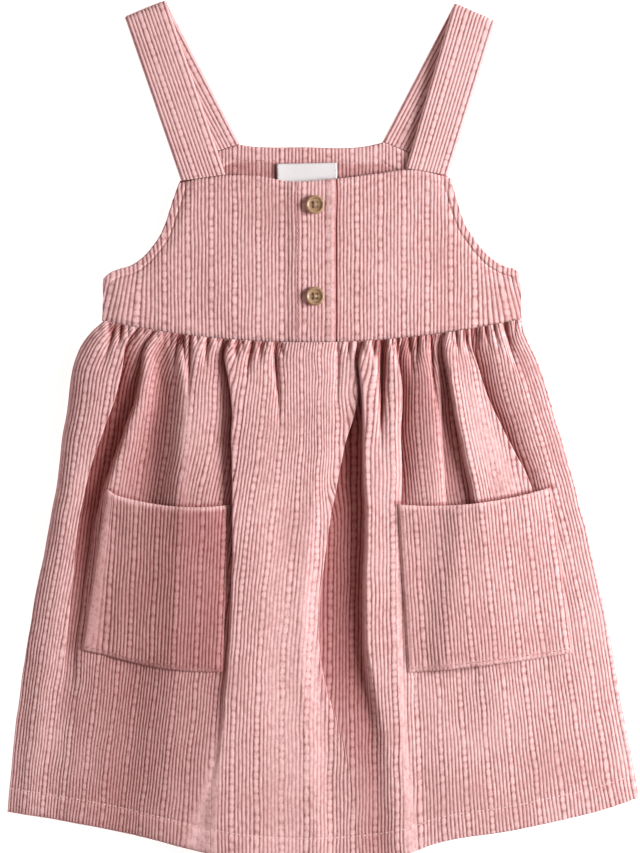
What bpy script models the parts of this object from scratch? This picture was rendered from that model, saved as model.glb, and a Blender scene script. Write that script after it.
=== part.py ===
"""A toddler's corduroy pinafore dress, laid flat on its back.

X runs across the dress, Y up the dress towards the shoulders, and Z up off the surface it
lies on. The origin is on that surface, under the middle of the dress. The tables and the
outlines are in millimetres, and build_mesh turns them into metres.

Each cut piece is a wall of cloth. Front pieces lie over back pieces, the straps fold over
at the shoulders, and the skirt is gathered into the waist seam. Left and right are as seen
from above, with the shoulders at the top.
"""

import math
from collections import namedtuple

import bmesh
import bpy
import numpy as np
from mathutils import Vector
from mathutils.bvhtree import BVHTree

# ---------------------------------------------------------------- driving dimensions, mm
MM = 0.001
GAP = 0.3                  # clearance between two pieces that meet
SKIRT_WALL = 1.5           # single corduroy with its pile
BACK_WALL = 1.6            # back bodice
BODICE_WALL = 2.4          # front bodice, faced at its edges
PLACKET_WALL = 1.6
UNDERLAP_WALL = 1.2        # right front where it runs under the placket
FACING_WALL = 1.2
LABEL_WALL = 1.0
STRAP_WALL = 2.4           # a strap is two layers turned out

HALF_HEM = 189.3           # half the width across the hem corners
NECK_LEFT, NECK_RIGHT = -87.0, 75.9
CHEST_LEFT, CHEST_RIGHT = -132.3, 118.8

PLACKET_LEFT, PLACKET_RIGHT = -16.2, 7.2
BUTTON_RADIUS = 5.7        # an 18-ligne button
BUTTON_HEIGHT = 2.6
BUTTON_X = -5.1
BUTTON_Y = {"button_top": 135.4, "button_bottom": 80.8}
HOLE_RADIUS = 0.6
HOLE_SPACING = 2.6

LABEL_CENTRE = (-9.9, 152.0)
LABEL_SIZE = (36.0, 17.0)
LABEL_TILT = math.radians(1.2)

# Levels of the layers above the resting surface
FACING_FLOOR = BACK_WALL + GAP
FRONT_EDGE_FLOOR = BACK_WALL + GAP
FRONT_NECK_EDGE_FLOOR = 3.6
FRONT_NECK_FLOOR = 5.0
FRONT_CROWN = 1.3
NECK_Y, NECK_DROP = 150.0, 55.0    # the front sinks over this length below the neckline
EDGE_ROLL = 12.0                   # width over which its armhole and side edges roll down
SKIRT_LEVEL = SKIRT_WALL + GAP + SKIRT_WALL + 0.2      # outer side of the front's valleys
SKIRT_WAIST_RISE = 1.2                                 # more of it over the back's gathers

# ---------------------------------------------------------------- outlines, (x, y) in mm
BACK_NECKLINE = ((-50.1, 171.9), (-46.0, 171.3), (-10.0, 170.4), (25.0, 170.9), (35.1, 173.0))
FRONT_NECKLINE = ((-87.0, 148.6), (-70.0, 151.8), (-52.0, 153.3), (-37.0, 152.4),
                  (-20.7, 149.5), (8.1, 151.1), (34.5, 154.4), (51.0, 156.3), (75.9, 151.8))
ARMHOLE_LEFT = ((-132.3, 90.8), (-129.6, 93.8), (-124.0, 96.8), (-114.9, 99.8),
                (-104.1, 108.8), (-96.3, 120.8), (-92.1, 132.8), (-89.0, 142.0), (-87.0, 148.6))
ARMHOLE_RIGHT = ((75.9, 151.8), (79.0, 142.0), (83.7, 126.8), (90.9, 114.8), (102.3, 102.8),
                 (110.0, 98.6), (114.9, 96.8), (118.2, 92.0), (118.8, 88.5))
WAIST_MIDDLE, WAIST_CENTRE_X, WAIST_CURVE = 53.2, -9.0, 0.00087

HEM = ((-189.3, -227.8), (-158.7, -232.6), (-104.7, -243.4), (-74.7, -250.9), (-44.1, -256.3),
       (-11.1, -258.4), (21.9, -257.2), (48.9, -253.0), (69.9, -246.0), (111.3, -239.2),
       (140.1, -233.2), (164.7, -227.2), (189.3, -219.4))

# Side edges of the skirt: share of the way down, left x, right x
SKIRT_SIDES = ((0.00, -131.7, 118.5), (0.03, -141.0, 121.0), (0.08, -148.5, 127.5),
               (0.17, -153.0, 136.0), (0.38, -162.0, 153.3), (0.60, -174.6, 168.5),
               (0.80, -183.6, 178.5), (1.00, -HALF_HEM, HALF_HEM))

# ---------------------------------------------------------------- folds of the front skirt
# One row for each fold, left to right. "valley" is the fold's right-hand valley as a share
# of the way across, and "height" its crest over the valleys in mm, both at STATIONS down
# the skirt. "crest" is where the crest lies in the fold, "lean" how far it hangs sideways,
# "soft" how open the right-hand valley is (0.5 is a tight crease), and "floor" how high
# that valley stays, as a share of the fold, above and below the middle of the skirt.
STATIONS = (0.0, 0.1, 0.2, 0.31, 0.6, 1.0)
Fold = namedtuple("Fold", "name gathers crest lean soft floor valley height")
FOLDS = (
    Fold("side_left", 4, 0.62, 3.2, 0.5, (0.0, 0.0),
         (0.112, 0.124, 0.105, 0.090, 0.075, 0.070), (6.0, 7.0, 7.0, 6.0, 3.5, 2.0)),
    Fold("left_inner", 4, 0.55, -1.0, 0.7, (0.1, 0.2),
         (0.198, 0.213, 0.201, 0.192, 0.190, 0.190), (6.0, 7.0, 6.5, 4.5, 3.0, 2.5)),
    Fold("left_second", 3, 0.50, 0.0, 1.2, (0.5, 0.6),
         (0.262, 0.277, 0.272, 0.268, 0.265, 0.255), (5.0, 5.5, 5.0, 3.5, 2.5, 2.0)),
    Fold("left_third", 2, 0.50, 0.0, 0.5, (0.0, 0.0),
         (0.305, 0.339, 0.338, 0.338, 0.336, 0.309), (5.0, 6.0, 5.5, 4.5, 3.5, 2.5)),
    Fold("centre_left", 3, 0.30, -4.0, 1.6, (0.5, 0.6),
         (0.416, 0.443, 0.450, 0.450, 0.450, 0.450), (5.0, 7.0, 7.5, 7.5, 6.5, 4.5)),
    Fold("centre", 2, 0.50, 0.0, 0.9, (0.6, 0.7),
         (0.549, 0.546, 0.537, 0.527, 0.524, 0.530), (4.0, 5.0, 5.0, 5.0, 4.5, 3.5)),
    Fold("centre_right", 3, 0.40, 0.0, 1.0, (0.0, 0.0),
         (0.623, 0.612, 0.582, 0.556, 0.558, 0.592), (4.0, 5.0, 4.5, 4.0, 3.0, 2.0)),
    Fold("right_first", 2, 0.50, 0.0, 0.9, (0.3, 1.0),
         (0.669, 0.658, 0.651, 0.642, 0.625, 0.645), (5.0, 6.5, 6.5, 6.0, 5.0, 4.0)),
    Fold("right_second", 2, 0.45, 0.0, 0.7, (0.0, 0.1),
         (0.724, 0.721, 0.708, 0.685, 0.681, 0.700), (5.0, 6.5, 6.5, 6.0, 5.0, 4.0)),
    Fold("right_third", 3, 0.40, 0.0, 0.7, (0.0, 0.2),
         (0.814, 0.803, 0.793, 0.789, 0.790, 0.800), (5.0, 6.0, 5.5, 4.5, 3.0, 3.0)),
    Fold("right_fourth", 2, 0.30, 0.0, 0.8, (0.1, 0.2),
         (0.876, 0.873, 0.904, 0.930, 0.930, 0.920), (5.0, 6.0, 6.0, 4.5, 3.0, 2.5)),
    Fold("side_inner", 3, 0.60, 0.0, 0.9, (0.3, 0.3),
         (0.960, 0.961, 0.968, 0.974, 0.972, 0.970), (5.0, 5.0, 4.5, 3.5, 2.5, 2.0)),
    Fold("side_right", 1, 0.50, 0.0, 0.5, (0.0, 0.0),
         (1.000, 1.000, 1.000, 1.000, 1.000, 1.000), (3.0, 3.5, 3.0, 2.0, 1.5, 1.0)),
)
EDGE_SOFTNESS = 0.5        # the left side edge rolls down like a tight crease
FOLD_SWELL = 0.08          # share of the skirt over which the folds swell out of the seam
GATHER_RISE = 3.0
GATHER_SHAPE = 0.6         # below 1 gives broad crests and narrow valleys
GATHER_REACH = (0.06, 0.16)
COLUMNS_PER_GATHER = 3
SKIRT_ROWS = 15

BACK_GATHERS = 22
BACK_GATHER_RISE = 0.9
BACK_GATHER_REACH = 0.2
BACK_SKIRT_ROWS = (0.0, 0.03, 0.08, 0.14, 0.2, 0.47, 0.74, 1.0)

# ---------------------------------------------------------------- pockets and straps, mm
# Corners of each pocket: top left, top right, bottom right, bottom left. "dip" is how far
# the mouth sags between its corners, and "belly" how far the lower edge bows down.
Pocket = namedtuple("Pocket", "corners dip belly")
POCKETS = {
    "pocket_left": Pocket(((-129.9, -34.5), (-57.0, -43.6), (-61.2, -143.2), (-144.9, -130.4)),
                          5.0, 4.0),
    "pocket_right": Pocket(((44.1, -43.6), (135.9, -33.4), (149.1, -132.4), (50.1, -144.4)),
                           4.5, 1.0),
}
POCKET_GRID = (14, 11)
POCKET_CLEARANCE = 0.45

# Edges of each strap in plan: where it folds over, where the front leg meets the neckline,
# and where the back leg meets the back bodice. Each is its outer point, then its inner one.
Strap = namedtuple("Strap", "fold front back")
STRAPS = {
    "strap_left": Strap(((-119.3, 248.4), (-94.5, 258.4)), ((-85.2, 149.6), (-58.5, 153.4)),
                        ((-75.3, 164.2), (-50.4, 172.4))),
    "strap_right": Strap(((103.5, 245.8), (78.6, 256.9)), ((74.4, 152.7), (49.2, 156.8)),
                         ((60.9, 163.4), (35.4, 173.5))),
}
STRAP_BEND = 2.4           # radius of the strap's middle layer where it folds over
FRONT_LEG_END = 5.2        # level of that layer where the strap meets the front neckline

ROSE = (0.62, 0.36, 0.35)
DEEP_ROSE = (0.50, 0.26, 0.25)
LABEL_WHITE = (0.86, 0.85, 0.83)
BUTTON_TAN = (0.50, 0.33, 0.19)


# ---------------------------------------------------------------- small mathematics
def smooth(x):
    """Ease from 0 to 1 as x goes from 0 to 1."""
    x = np.clip(x, 0.0, 1.0)
    return x * x * (3.0 - 2.0 * x)


def curve(points, x):
    """A smooth curve y(x) through points sorted by x."""
    xs, ys = np.array(points, dtype=float).T
    x = np.asarray(x, dtype=float)
    steps = np.diff(xs)
    slopes = np.diff(ys) / steps
    inner = (slopes[:-1] * steps[1:] + slopes[1:] * steps[:-1]) / (steps[:-1] + steps[1:])
    tangents = np.concatenate(([slopes[0]], inner, [slopes[-1]]))
    i = np.clip(np.searchsorted(xs, x) - 1, 0, len(steps) - 1)
    t = np.clip((x - xs[i]) / steps[i], 0.0, 1.0)
    from_left = ys[i] * (2 * t**3 - 3 * t**2 + 1) + steps[i] * tangents[i] * (t**3 - 2 * t**2 + t)
    from_right = ys[i + 1] * (3 * t**2 - 2 * t**3) + steps[i] * tangents[i + 1] * (t**3 - t**2)
    return from_left + from_right


def vary(n):
    """A repeatable number from 0 to 1 for each whole number n."""
    value = math.sin(12.9898 * n + 4.1) * 43758.5453
    return value - math.floor(value)


def waist(x):
    """Y of the waist seam at x."""
    return WAIST_MIDDLE + WAIST_CURVE * (np.asarray(x) - WAIST_CENTRE_X) ** 2


def front_top(x):
    """Y of the front bodice's upper edge at x: armhole, neckline, armhole."""
    x = np.asarray(x, dtype=float)
    left, right = curve(ARMHOLE_LEFT, x), curve(ARMHOLE_RIGHT, x)
    middle = curve(FRONT_NECKLINE, x)
    return np.where(x < NECK_LEFT, left, np.where(x > NECK_RIGHT, right, middle))


# ---------------------------------------------------------------- meshes and materials
def cloth_material(name, colour, roughness=0.9):
    material = bpy.data.materials.new(name)
    material.use_nodes = True
    shader = material.node_tree.nodes["Principled BSDF"]
    shader.inputs["Base Color"].default_value = (*colour, 1.0)
    shader.inputs["Roughness"].default_value = roughness
    shader.inputs["Metallic"].default_value = 0.0
    material.diffuse_color = (*colour, 1.0)
    return material


def build_mesh(name, points, faces, material):
    """One object from points in millimetres, shaded smooth but for its rims."""
    mesh = bpy.data.meshes.new(name)
    mesh.from_pydata([tuple(p * MM) for p in np.asarray(points, dtype=float)], [], faces)
    mesh.validate()
    mesh.shade_smooth()
    mesh.set_sharp_from_angle(angle=math.radians(50))
    mesh.materials.append(material)
    piece = bpy.data.objects.new(name, mesh)
    bpy.context.collection.objects.link(piece)
    return piece


def wall(name, outer, inner, material):
    """A closed wall between two grids of points, outer above inner, with +X and +Y rows.

    Rows run up the grid and columns to the right, so that the outer faces point out.
    """
    rows, columns = outer.shape[:2]
    count = rows * columns

    def at(row, column, side=0):
        return side * count + row * columns + column

    faces = []
    for r in range(rows - 1):
        for c in range(columns - 1):
            faces.append((at(r, c), at(r, c + 1), at(r + 1, c + 1), at(r + 1, c)))
            faces.append((at(r, c, 1), at(r + 1, c, 1), at(r + 1, c + 1, 1), at(r, c + 1, 1)))
    rim = [(0, c) for c in range(columns - 1)]
    rim += [(r, columns - 1) for r in range(rows - 1)]
    rim += [(rows - 1, c) for c in range(columns - 1, 0, -1)]
    rim += [(r, 0) for r in range(rows - 1, 0, -1)]
    for (r0, c0), (r1, c1) in zip(rim, rim[1:] + rim[:1]):
        faces.append((at(r0, c0), at(r0, c0, 1), at(r1, c1, 1), at(r1, c1)))
    points = np.concatenate((outer.reshape(-1, 3), inner.reshape(-1, 3)))
    return build_mesh(name, points, faces, material)


def grid_normals(grid):
    """Unit normals of a grid whose rows run up and whose columns run right."""
    across = np.gradient(grid, axis=1)
    along = np.gradient(grid, axis=0)
    normals = np.cross(across, along)
    return normals / np.linalg.norm(normals, axis=2, keepdims=True)


def columns_between(x, low, high, shares):
    """A grid of plan points whose columns stand at x, from low(x) up to high(x)."""
    share = np.asarray(shares)[:, None]
    y = low * (1.0 - share) + high * share
    return np.broadcast_to(x, y.shape), y


# ---------------------------------------------------------------- skirt
def at_station(values, down):
    return curve(tuple(zip(STATIONS, values)), down)


def skirt_plan(across, down):
    """Plan position of the skirt's cloth, before its folds lean."""
    down = np.asarray(down, dtype=float)
    left = curve([(row[0], row[1]) for row in SKIRT_SIDES], down)
    right = curve([(row[0], row[2]) for row in SKIRT_SIDES], down)
    x = left + (right - left) * across
    waist_x = SKIRT_SIDES[0][1] + (SKIRT_SIDES[0][2] - SKIRT_SIDES[0][1]) * across
    hem_x = HALF_HEM * (2.0 * across - 1.0)
    y = (waist(waist_x) - GAP) * (1.0 - down) + curve(HEM, hem_x) * down
    return x, y


def rise(share, softness):
    """Height of a fold's flank, from 0 at its valley to 1 at its crest."""
    return (1.0 - (1.0 - share) ** 2) ** softness


def gather_height(order, gathers, share, down):
    """Height of the small gathers in one fold. They fade out below the seam."""
    number = np.minimum((share * gathers).astype(int), gathers - 1)
    inside = share * gathers - number
    bump = (1.0 - (2.0 * inside - 1.0) ** 2).clip(0.0, 1.0) ** GATHER_SHAPE
    size = np.array([0.7 + 0.3 * vary(10 * order + i) for i in range(gathers)])[number]
    low, high = GATHER_REACH
    reach = np.array([low + (high - low) * vary(10 * order + i + 5) for i in range(gathers)])
    seam_pinch = 0.45 + 0.55 * smooth(down / 0.025)
    fade = 1.0 - smooth(down / reach[number])
    return GATHER_RISE * bump * size * fade * seam_pinch


def fold_section(order, share, down):
    """One fold of the front skirt, at shares of its width: plan x, y and height."""
    fold = FOLDS[order]
    right = at_station(fold.valley, down)
    left = at_station(FOLDS[order - 1].valley, down) if order else 0.0
    x, y = skirt_plan(left + (right - left) * share, down)

    lower_half = smooth((down - 0.2) / 0.25)
    swell = 0.15 + 0.85 * smooth(down / FOLD_SWELL)
    height = at_station(fold.height, down) * swell

    def valley_floor(valley):
        above, below = FOLDS[valley].floor
        return (above + (below - above) * lower_half) * height

    left_floor = valley_floor(order - 1) if order else 0.0
    right_floor = valley_floor(order)
    left_soft = FOLDS[order - 1].soft if order else EDGE_SOFTNESS
    on_left = rise(np.minimum(share / fold.crest, 1.0), left_soft)
    on_right = rise(np.minimum((1.0 - share) / (1.0 - fold.crest), 1.0), fold.soft)
    is_left = share < fold.crest
    body = np.where(is_left, on_left, on_right)
    base = np.where(is_left, left_floor, right_floor)
    z = base + (height - base) * body

    fullness = at_station(fold.height, down) / max(fold.height)
    x = x + fold.lean * body * fullness * smooth(down / 0.1)
    z = z + gather_height(order, fold.gathers, share, down)
    return x, y, z


def skirt_level(down):
    """Height of the outer side of the front skirt where it lies flattest."""
    return SKIRT_LEVEL + SKIRT_WAIST_RISE * (1.0 - smooth((down - 0.1) / 0.2))


def fold_columns(gathers, down):
    """Shares of a fold's width where its columns stand.

    They follow the gathers at the seam and crowd into the valleys lower down.
    """
    count = gathers * COLUMNS_PER_GATHER
    even = np.arange(count) / count
    crowded = 0.5 - 0.5 * np.cos(np.pi * even)
    blend = 0.6 * smooth(down / 0.15)
    return even + (crowded - even) * blend


def front_skirt_surface():
    rows = []
    for down in (np.arange(SKIRT_ROWS + 1) / SKIRT_ROWS) ** 1.6:
        row = []
        for order, fold in enumerate(FOLDS):
            share = fold_columns(fold.gathers, down)
            if order == len(FOLDS) - 1:
                share = np.append(share, 1.0)
            x, y, z = fold_section(order, share, down)
            row.append(np.stack((x, y, z + skirt_level(down)), axis=-1))
        rows.append(np.concatenate(row))
    return np.array(rows[::-1])


def make_front_skirt(material):
    outer = front_skirt_surface()
    inner = outer - SKIRT_WALL * grid_normals(outer)
    inner[..., 2] = np.maximum(inner[..., 2], SKIRT_WALL + GAP)
    inner[-1, :, 1] = outer[-1, :, 1]
    return wall("front_skirt", outer, inner, material)


def make_back_skirt(material):
    across = np.linspace(0.0, 1.0, 2 * BACK_GATHERS + 1)
    rows = []
    for down in BACK_SKIRT_ROWS[::-1]:
        x, y = skirt_plan(across, down)
        fade = 1.0 - smooth(down / BACK_GATHER_REACH)
        ripple = np.arange(len(across)) % 2 * (0.6 + 0.4 * np.array(
            [vary(n) for n in range(len(across))]))
        z = SKIRT_WALL + BACK_GATHER_RISE * ripple * fade
        rows.append(np.stack((x, y, z), axis=-1))
    outer = np.array(rows)
    inner = outer - (0.0, 0.0, SKIRT_WALL)
    return wall("back_skirt", outer, inner, material)


# ---------------------------------------------------------------- bodice
def edge_distance(x, y):
    """Distance from the front bodice's armhole and side edges."""
    outline = []
    for side in (ARMHOLE_LEFT, ARMHOLE_RIGHT):
        xs = np.linspace(side[0][0], side[-1][0], 60)
        outline += list(zip(xs, curve(side, xs)))
    for side_x in (CHEST_LEFT, CHEST_RIGHT):
        outline += [(side_x, side_y) for side_y in np.linspace(60.0, 92.0, 12)]
    outline = np.array(outline)
    dx = np.asarray(x)[..., None] - outline[:, 0]
    dy = np.asarray(y)[..., None] - outline[:, 1]
    return np.sqrt(dx**2 + dy**2).min(axis=-1)


def front_floor(x, y):
    """Level of the underside of the front bodice, which sinks away from the neckline."""
    near_neck = 1.0 - smooth((NECK_Y - y) / NECK_DROP)
    edge = FRONT_EDGE_FLOOR + (FRONT_NECK_EDGE_FLOOR - FRONT_EDGE_FLOOR) * near_neck
    middle = FRONT_EDGE_FLOOR + FRONT_CROWN
    middle = middle + (FRONT_NECK_FLOOR - middle) * near_neck
    inside = smooth(edge_distance(x, y) / EDGE_ROLL)
    return edge + (middle - edge) * inside


def make_front_left(material):
    x = np.concatenate((np.linspace(CHEST_LEFT, NECK_LEFT, 12),
                        np.linspace(NECK_LEFT, PLACKET_LEFT - GAP, 10)[1:]))
    gx, gy = columns_between(x, waist(x), front_top(x), np.linspace(0.0, 1.0, 9))
    floor = front_floor(gx, gy)
    outer = np.stack((gx, gy, floor + BODICE_WALL), axis=-1)
    inner = np.stack((gx, gy, floor), axis=-1)
    return wall("front_bodice_left", outer, inner, material)


def make_front_right(material):
    """The right front runs on under the placket as a thinner underlap."""
    step = PLACKET_RIGHT + GAP
    x = np.concatenate(((PLACKET_LEFT + 1.0, 0.0, step, step + 0.6),
                        np.linspace(step, NECK_RIGHT, 9)[1:],
                        np.linspace(NECK_RIGHT, CHEST_RIGHT, 12)[1:]))
    gx, gy = columns_between(x, waist(x), front_top(x), np.linspace(0.0, 1.0, 9))
    floor = front_floor(gx, gy)
    under = gx <= step
    thickness = np.where(under, UNDERLAP_WALL, BODICE_WALL)
    outer = np.stack((gx, gy, floor + thickness), axis=-1)
    inner = np.stack((gx, gy, floor), axis=-1)
    return wall("front_bodice_right", outer, inner, material)


def placket_floor(x, y):
    return front_floor(x, y) + UNDERLAP_WALL + GAP


def make_placket(material):
    x = np.linspace(PLACKET_LEFT, PLACKET_RIGHT, 6)
    gx, gy = columns_between(x, waist(x), front_top(x), np.linspace(0.0, 1.0, 9))
    floor = placket_floor(gx, gy)
    outer = np.stack((gx, gy, floor + PLACKET_WALL), axis=-1)
    inner = np.stack((gx, gy, floor), axis=-1)
    return wall("placket", outer, inner, material)


def back_top(x):
    """Y of the back bodice's upper edge: armhole, strap seam, neckline, and so back."""
    left, right = STRAPS["strap_left"].back, STRAPS["strap_right"].back
    x = np.asarray(x, dtype=float)

    def below_strap(strap):
        (x0, y0), (x1, y1) = sorted(strap)
        return y0 + (y1 - y0) * (x - x0) / (x1 - x0) - 2.0 * GAP

    def towards(corner, strap_end):
        (x0, y0), (x1, y1) = corner, strap_end
        return y0 + (y1 - 2.0 * GAP - y0) * (x - x0) / (x1 - x0)

    conditions = [x < NECK_LEFT, x < left[0][0], x < left[1][0], x <= right[1][0],
                  x <= right[0][0], x <= NECK_RIGHT]
    values = [curve(ARMHOLE_LEFT, x), towards(ARMHOLE_LEFT[-1], left[0]), below_strap(left),
              curve(BACK_NECKLINE, x), below_strap(right), towards(ARMHOLE_RIGHT[0], right[0])]
    return np.select(conditions, values, curve(ARMHOLE_RIGHT, x))


def make_back_bodice(material):
    left, right = STRAPS["strap_left"].back, STRAPS["strap_right"].back
    x = np.concatenate((np.linspace(CHEST_LEFT, NECK_LEFT, 10)[:-1],
                        np.linspace(NECK_LEFT, left[0][0], 3)[:-1],
                        np.linspace(left[0][0], left[1][0], 4)[:-1],
                        np.linspace(left[1][0], right[1][0], 8)[:-1],
                        np.linspace(right[1][0], right[0][0], 4)[:-1],
                        np.linspace(right[0][0], NECK_RIGHT, 3)[:-1],
                        np.linspace(NECK_RIGHT, CHEST_RIGHT, 10)))
    gx, gy = columns_between(x, waist(x), back_top(x), np.linspace(0.0, 1.0, 6))
    outer = np.stack((gx, gy, np.full(gx.shape, BACK_WALL)), axis=-1)
    inner = outer * (1.0, 1.0, 0.0)
    return wall("back_bodice", outer, inner, material)


def make_back_facing(material):
    """The inner facing of the back neckline, which shows above the front."""
    left, right = -68.0, 52.0
    x = np.linspace(left, right, 15)
    gx, gy = columns_between(x, np.full(x.shape, 128.0), back_top(x) - 0.6,
                             np.linspace(0.0, 1.0, 4))
    outer = np.stack((gx, gy, np.full(gx.shape, FACING_FLOOR + FACING_WALL)), axis=-1)
    inner = outer - (0.0, 0.0, FACING_WALL)
    return wall("back_facing", outer, inner, material)


def make_label(material):
    """A blank woven label, folded double and sewn in below the back neckline."""
    across = np.linspace(-0.5, 0.5, 7) * LABEL_SIZE[0]
    up = np.linspace(-0.5, 0.5, 4) * LABEL_SIZE[1]
    gx, gy = np.meshgrid(across, up)
    x = LABEL_CENTRE[0] + gx * math.cos(LABEL_TILT) - gy * math.sin(LABEL_TILT)
    y = LABEL_CENTRE[1] + gx * math.sin(LABEL_TILT) + gy * math.cos(LABEL_TILT)
    floor = FACING_FLOOR + FACING_WALL + GAP
    outer = np.stack((x, y, np.full(x.shape, floor + LABEL_WALL)), axis=-1)
    inner = outer - (0.0, 0.0, LABEL_WALL)
    return wall("neck_label", outer, inner, material)


# ---------------------------------------------------------------- straps
def strap_section(outer, inner, normal):
    """A rounded section between two edge points of the strap's middle layer."""
    width = inner - outer
    inset = 1.2 / np.linalg.norm(width)
    half = STRAP_WALL / 2.0
    shape = ((0.0, -0.45), (inset, -1.0), (0.5, -1.0), (1.0 - inset, -1.0), (1.0, -0.45),
             (1.0, 0.45), (1.0 - inset, 1.0), (0.5, 1.0), (inset, 1.0), (0.0, 0.45))
    return [outer + width * share + normal * half * level for share, level in shape]


def clear_of_neckline(outer, inner):
    """The front end of a strap, moved up until it just clears the front neckline."""
    (x0, y0), (x1, y1) = outer, inner
    x = np.linspace(x0, x1, 30)
    line = y0 + (y1 - y0) * (x - x0) / (x1 - x0)
    up = (front_top(x) + GAP - line).max()
    return np.array((x0, y0 + up)), np.array((x1, y1 + up))


def strap_path(strap):
    """Edges and normals of the strap, from the back seam, over the fold, to the front."""
    fold_outer, fold_inner = (np.array(p) for p in strap.fold)
    along = (fold_inner - fold_outer) / np.linalg.norm(fold_inner - fold_outer)
    out = np.array((-along[1], along[0]))
    out *= np.sign(out[1])
    reach = STRAP_BEND + STRAP_WALL / 2.0
    axis_outer, axis_inner = fold_outer - out * reach, fold_inner - out * reach
    back_outer, back_inner = (np.array(p) for p in strap.back)
    front_outer, front_inner = clear_of_neckline(*strap.front)
    low = STRAP_WALL / 2.0
    high = low + 2.0 * STRAP_BEND
    stations = []
    for share in np.linspace(0.0, 1.0, 7)[:-1]:
        outer = back_outer + (axis_outer - back_outer) * share
        inner = back_inner + (axis_inner - back_inner) * share
        stations.append(((*outer, low), (*inner, low), (0.0, 0.0, -1.0)))
    for angle in np.linspace(-0.5, 0.5, 7) * math.pi:
        shift = out * math.cos(angle) * STRAP_BEND
        level = low + STRAP_BEND + STRAP_BEND * math.sin(angle)
        normal = (*(out * math.cos(angle)), math.sin(angle))
        stations.append(((*(axis_outer + shift), level), (*(axis_inner + shift), level), normal))
    for share in np.linspace(0.0, 1.0, 9)[1:]:
        outer = axis_outer + (front_outer - axis_outer) * share
        inner = axis_inner + (front_inner - axis_inner) * share
        level = high + (FRONT_LEG_END - high) * smooth(share)
        stations.append(((*outer, level), (*inner, level), (0.0, 0.0, 1.0)))
    return [tuple(np.array(part, dtype=float) for part in station) for station in stations]


def make_strap(name, material):
    sections = [strap_section(*station) for station in strap_path(STRAPS[name])]
    size = len(sections[0])
    faces = []
    for s in range(len(sections) - 1):
        for i in range(size):
            j = (i + 1) % size
            faces.append((s * size + i, s * size + j, (s + 1) * size + j, (s + 1) * size + i))
    last = (len(sections) - 1) * size
    faces.append(tuple(reversed(range(size))))
    faces.append(tuple(range(last, last + size)))
    points = [point for section in sections for point in section]
    strap = build_mesh(name, points, faces, material)
    turn_outward(strap)
    return strap


def turn_outward(piece):
    """Turn every face of a closed piece outward."""
    shape = bmesh.new()
    shape.from_mesh(piece.data)
    bmesh.ops.recalc_face_normals(shape, faces=shape.faces)
    shape.to_mesh(piece.data)
    shape.free()


# ---------------------------------------------------------------- pockets
def height_of(piece):
    """A function that gives the top of a piece, in millimetres, above a plan point."""
    points = [vertex.co / MM for vertex in piece.data.vertices]
    tree = BVHTree.FromPolygons(points, [tuple(face.vertices) for face in piece.data.polygons])

    def height(x, y):
        hit = tree.ray_cast(Vector((x, y, 200.0)), Vector((0.0, 0.0, -1.0)))[0]
        return hit.z if hit else 0.0

    return height


def pocket_plan(pocket):
    """Plan points of a patch pocket, rows up from its lower edge."""
    columns, rows = POCKET_GRID
    top_left, top_right, bottom_right, bottom_left = (np.array(c) for c in pocket.corners)
    across = np.linspace(0.0, 1.0, columns + 1)[None, :, None]
    up = np.linspace(0.0, 1.0, rows + 1)[:, None, None]
    lower = bottom_left + (bottom_right - bottom_left) * across
    upper = top_left + (top_right - top_left) * across
    plan = lower + (upper - lower) * up
    bow = 4.0 * across * (1.0 - across)
    plan[..., 1] -= (bow * (pocket.dip * up + pocket.belly * (1.0 - up)))[..., 0]
    return plan


def lay_over(plan, height, clearance):
    """Levels for a grid of plan points so that the cloth rests on what lies below it."""
    rows, columns = plan.shape[:2]
    level = np.array([[height(*plan[r, c]) for c in range(columns)] for r in range(rows)])
    for _ in range(6):
        padded = np.pad(level, 1, mode="edge")
        around = (padded[:-2, 1:-1] + padded[2:, 1:-1] + padded[1:-1, :-2] + padded[1:-1, 2:]) / 4
        level = np.maximum(level, around)
    steps = np.linspace(0.0, 1.0, 5)
    level += clearance
    for _ in range(4):
        lift = np.zeros_like(level)
        for r in range(rows - 1):
            for c in range(columns - 1):
                corners = plan[r:r + 2, c:c + 2]
                levels = level[r:r + 2, c:c + 2]
                for a in steps:
                    for b in steps:
                        weight = np.array((((1 - a) * (1 - b), (1 - a) * b), (a * (1 - b), a * b)))
                        x, y = (corners * weight[..., None]).sum(axis=(0, 1))
                        short = height(x, y) + clearance - (levels * weight).sum()
                        if short > 0.0:
                            lift[r:r + 2, c:c + 2] = np.maximum(lift[r:r + 2, c:c + 2], short)
        level += lift
    return level


def make_pocket(name, skirt_height, material):
    plan = pocket_plan(POCKETS[name])
    level = lay_over(plan, skirt_height, POCKET_CLEARANCE)
    inner = np.concatenate((plan, level[..., None]), axis=2)
    outer = inner + (0.0, 0.0, SKIRT_WALL)
    return wall(name, outer, inner, material)


# ---------------------------------------------------------------- buttons
def lathe(name, profile, segments, material):
    """Turn a profile of (radius, height) points, bottom centre to top centre, about Z."""
    points = [(0.0, 0.0, profile[0][1])]
    for radius, height in profile[1:-1]:
        for k in range(segments):
            angle = 2.0 * math.pi * k / segments
            points.append((radius * math.cos(angle), radius * math.sin(angle), height))
    points.append((0.0, 0.0, profile[-1][1]))
    rings = len(profile) - 2
    faces = []
    for k in range(segments):
        n = (k + 1) % segments
        faces.append((0, 1 + n, 1 + k))
        for ring in range(rings - 1):
            a, b = 1 + ring * segments, 1 + (ring + 1) * segments
            faces.append((a + k, a + n, b + n, b + k))
        top = 1 + (rings - 1) * segments
        faces.append((top + k, top + n, len(points) - 1))
    return build_mesh(name, points, faces, material)


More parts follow.
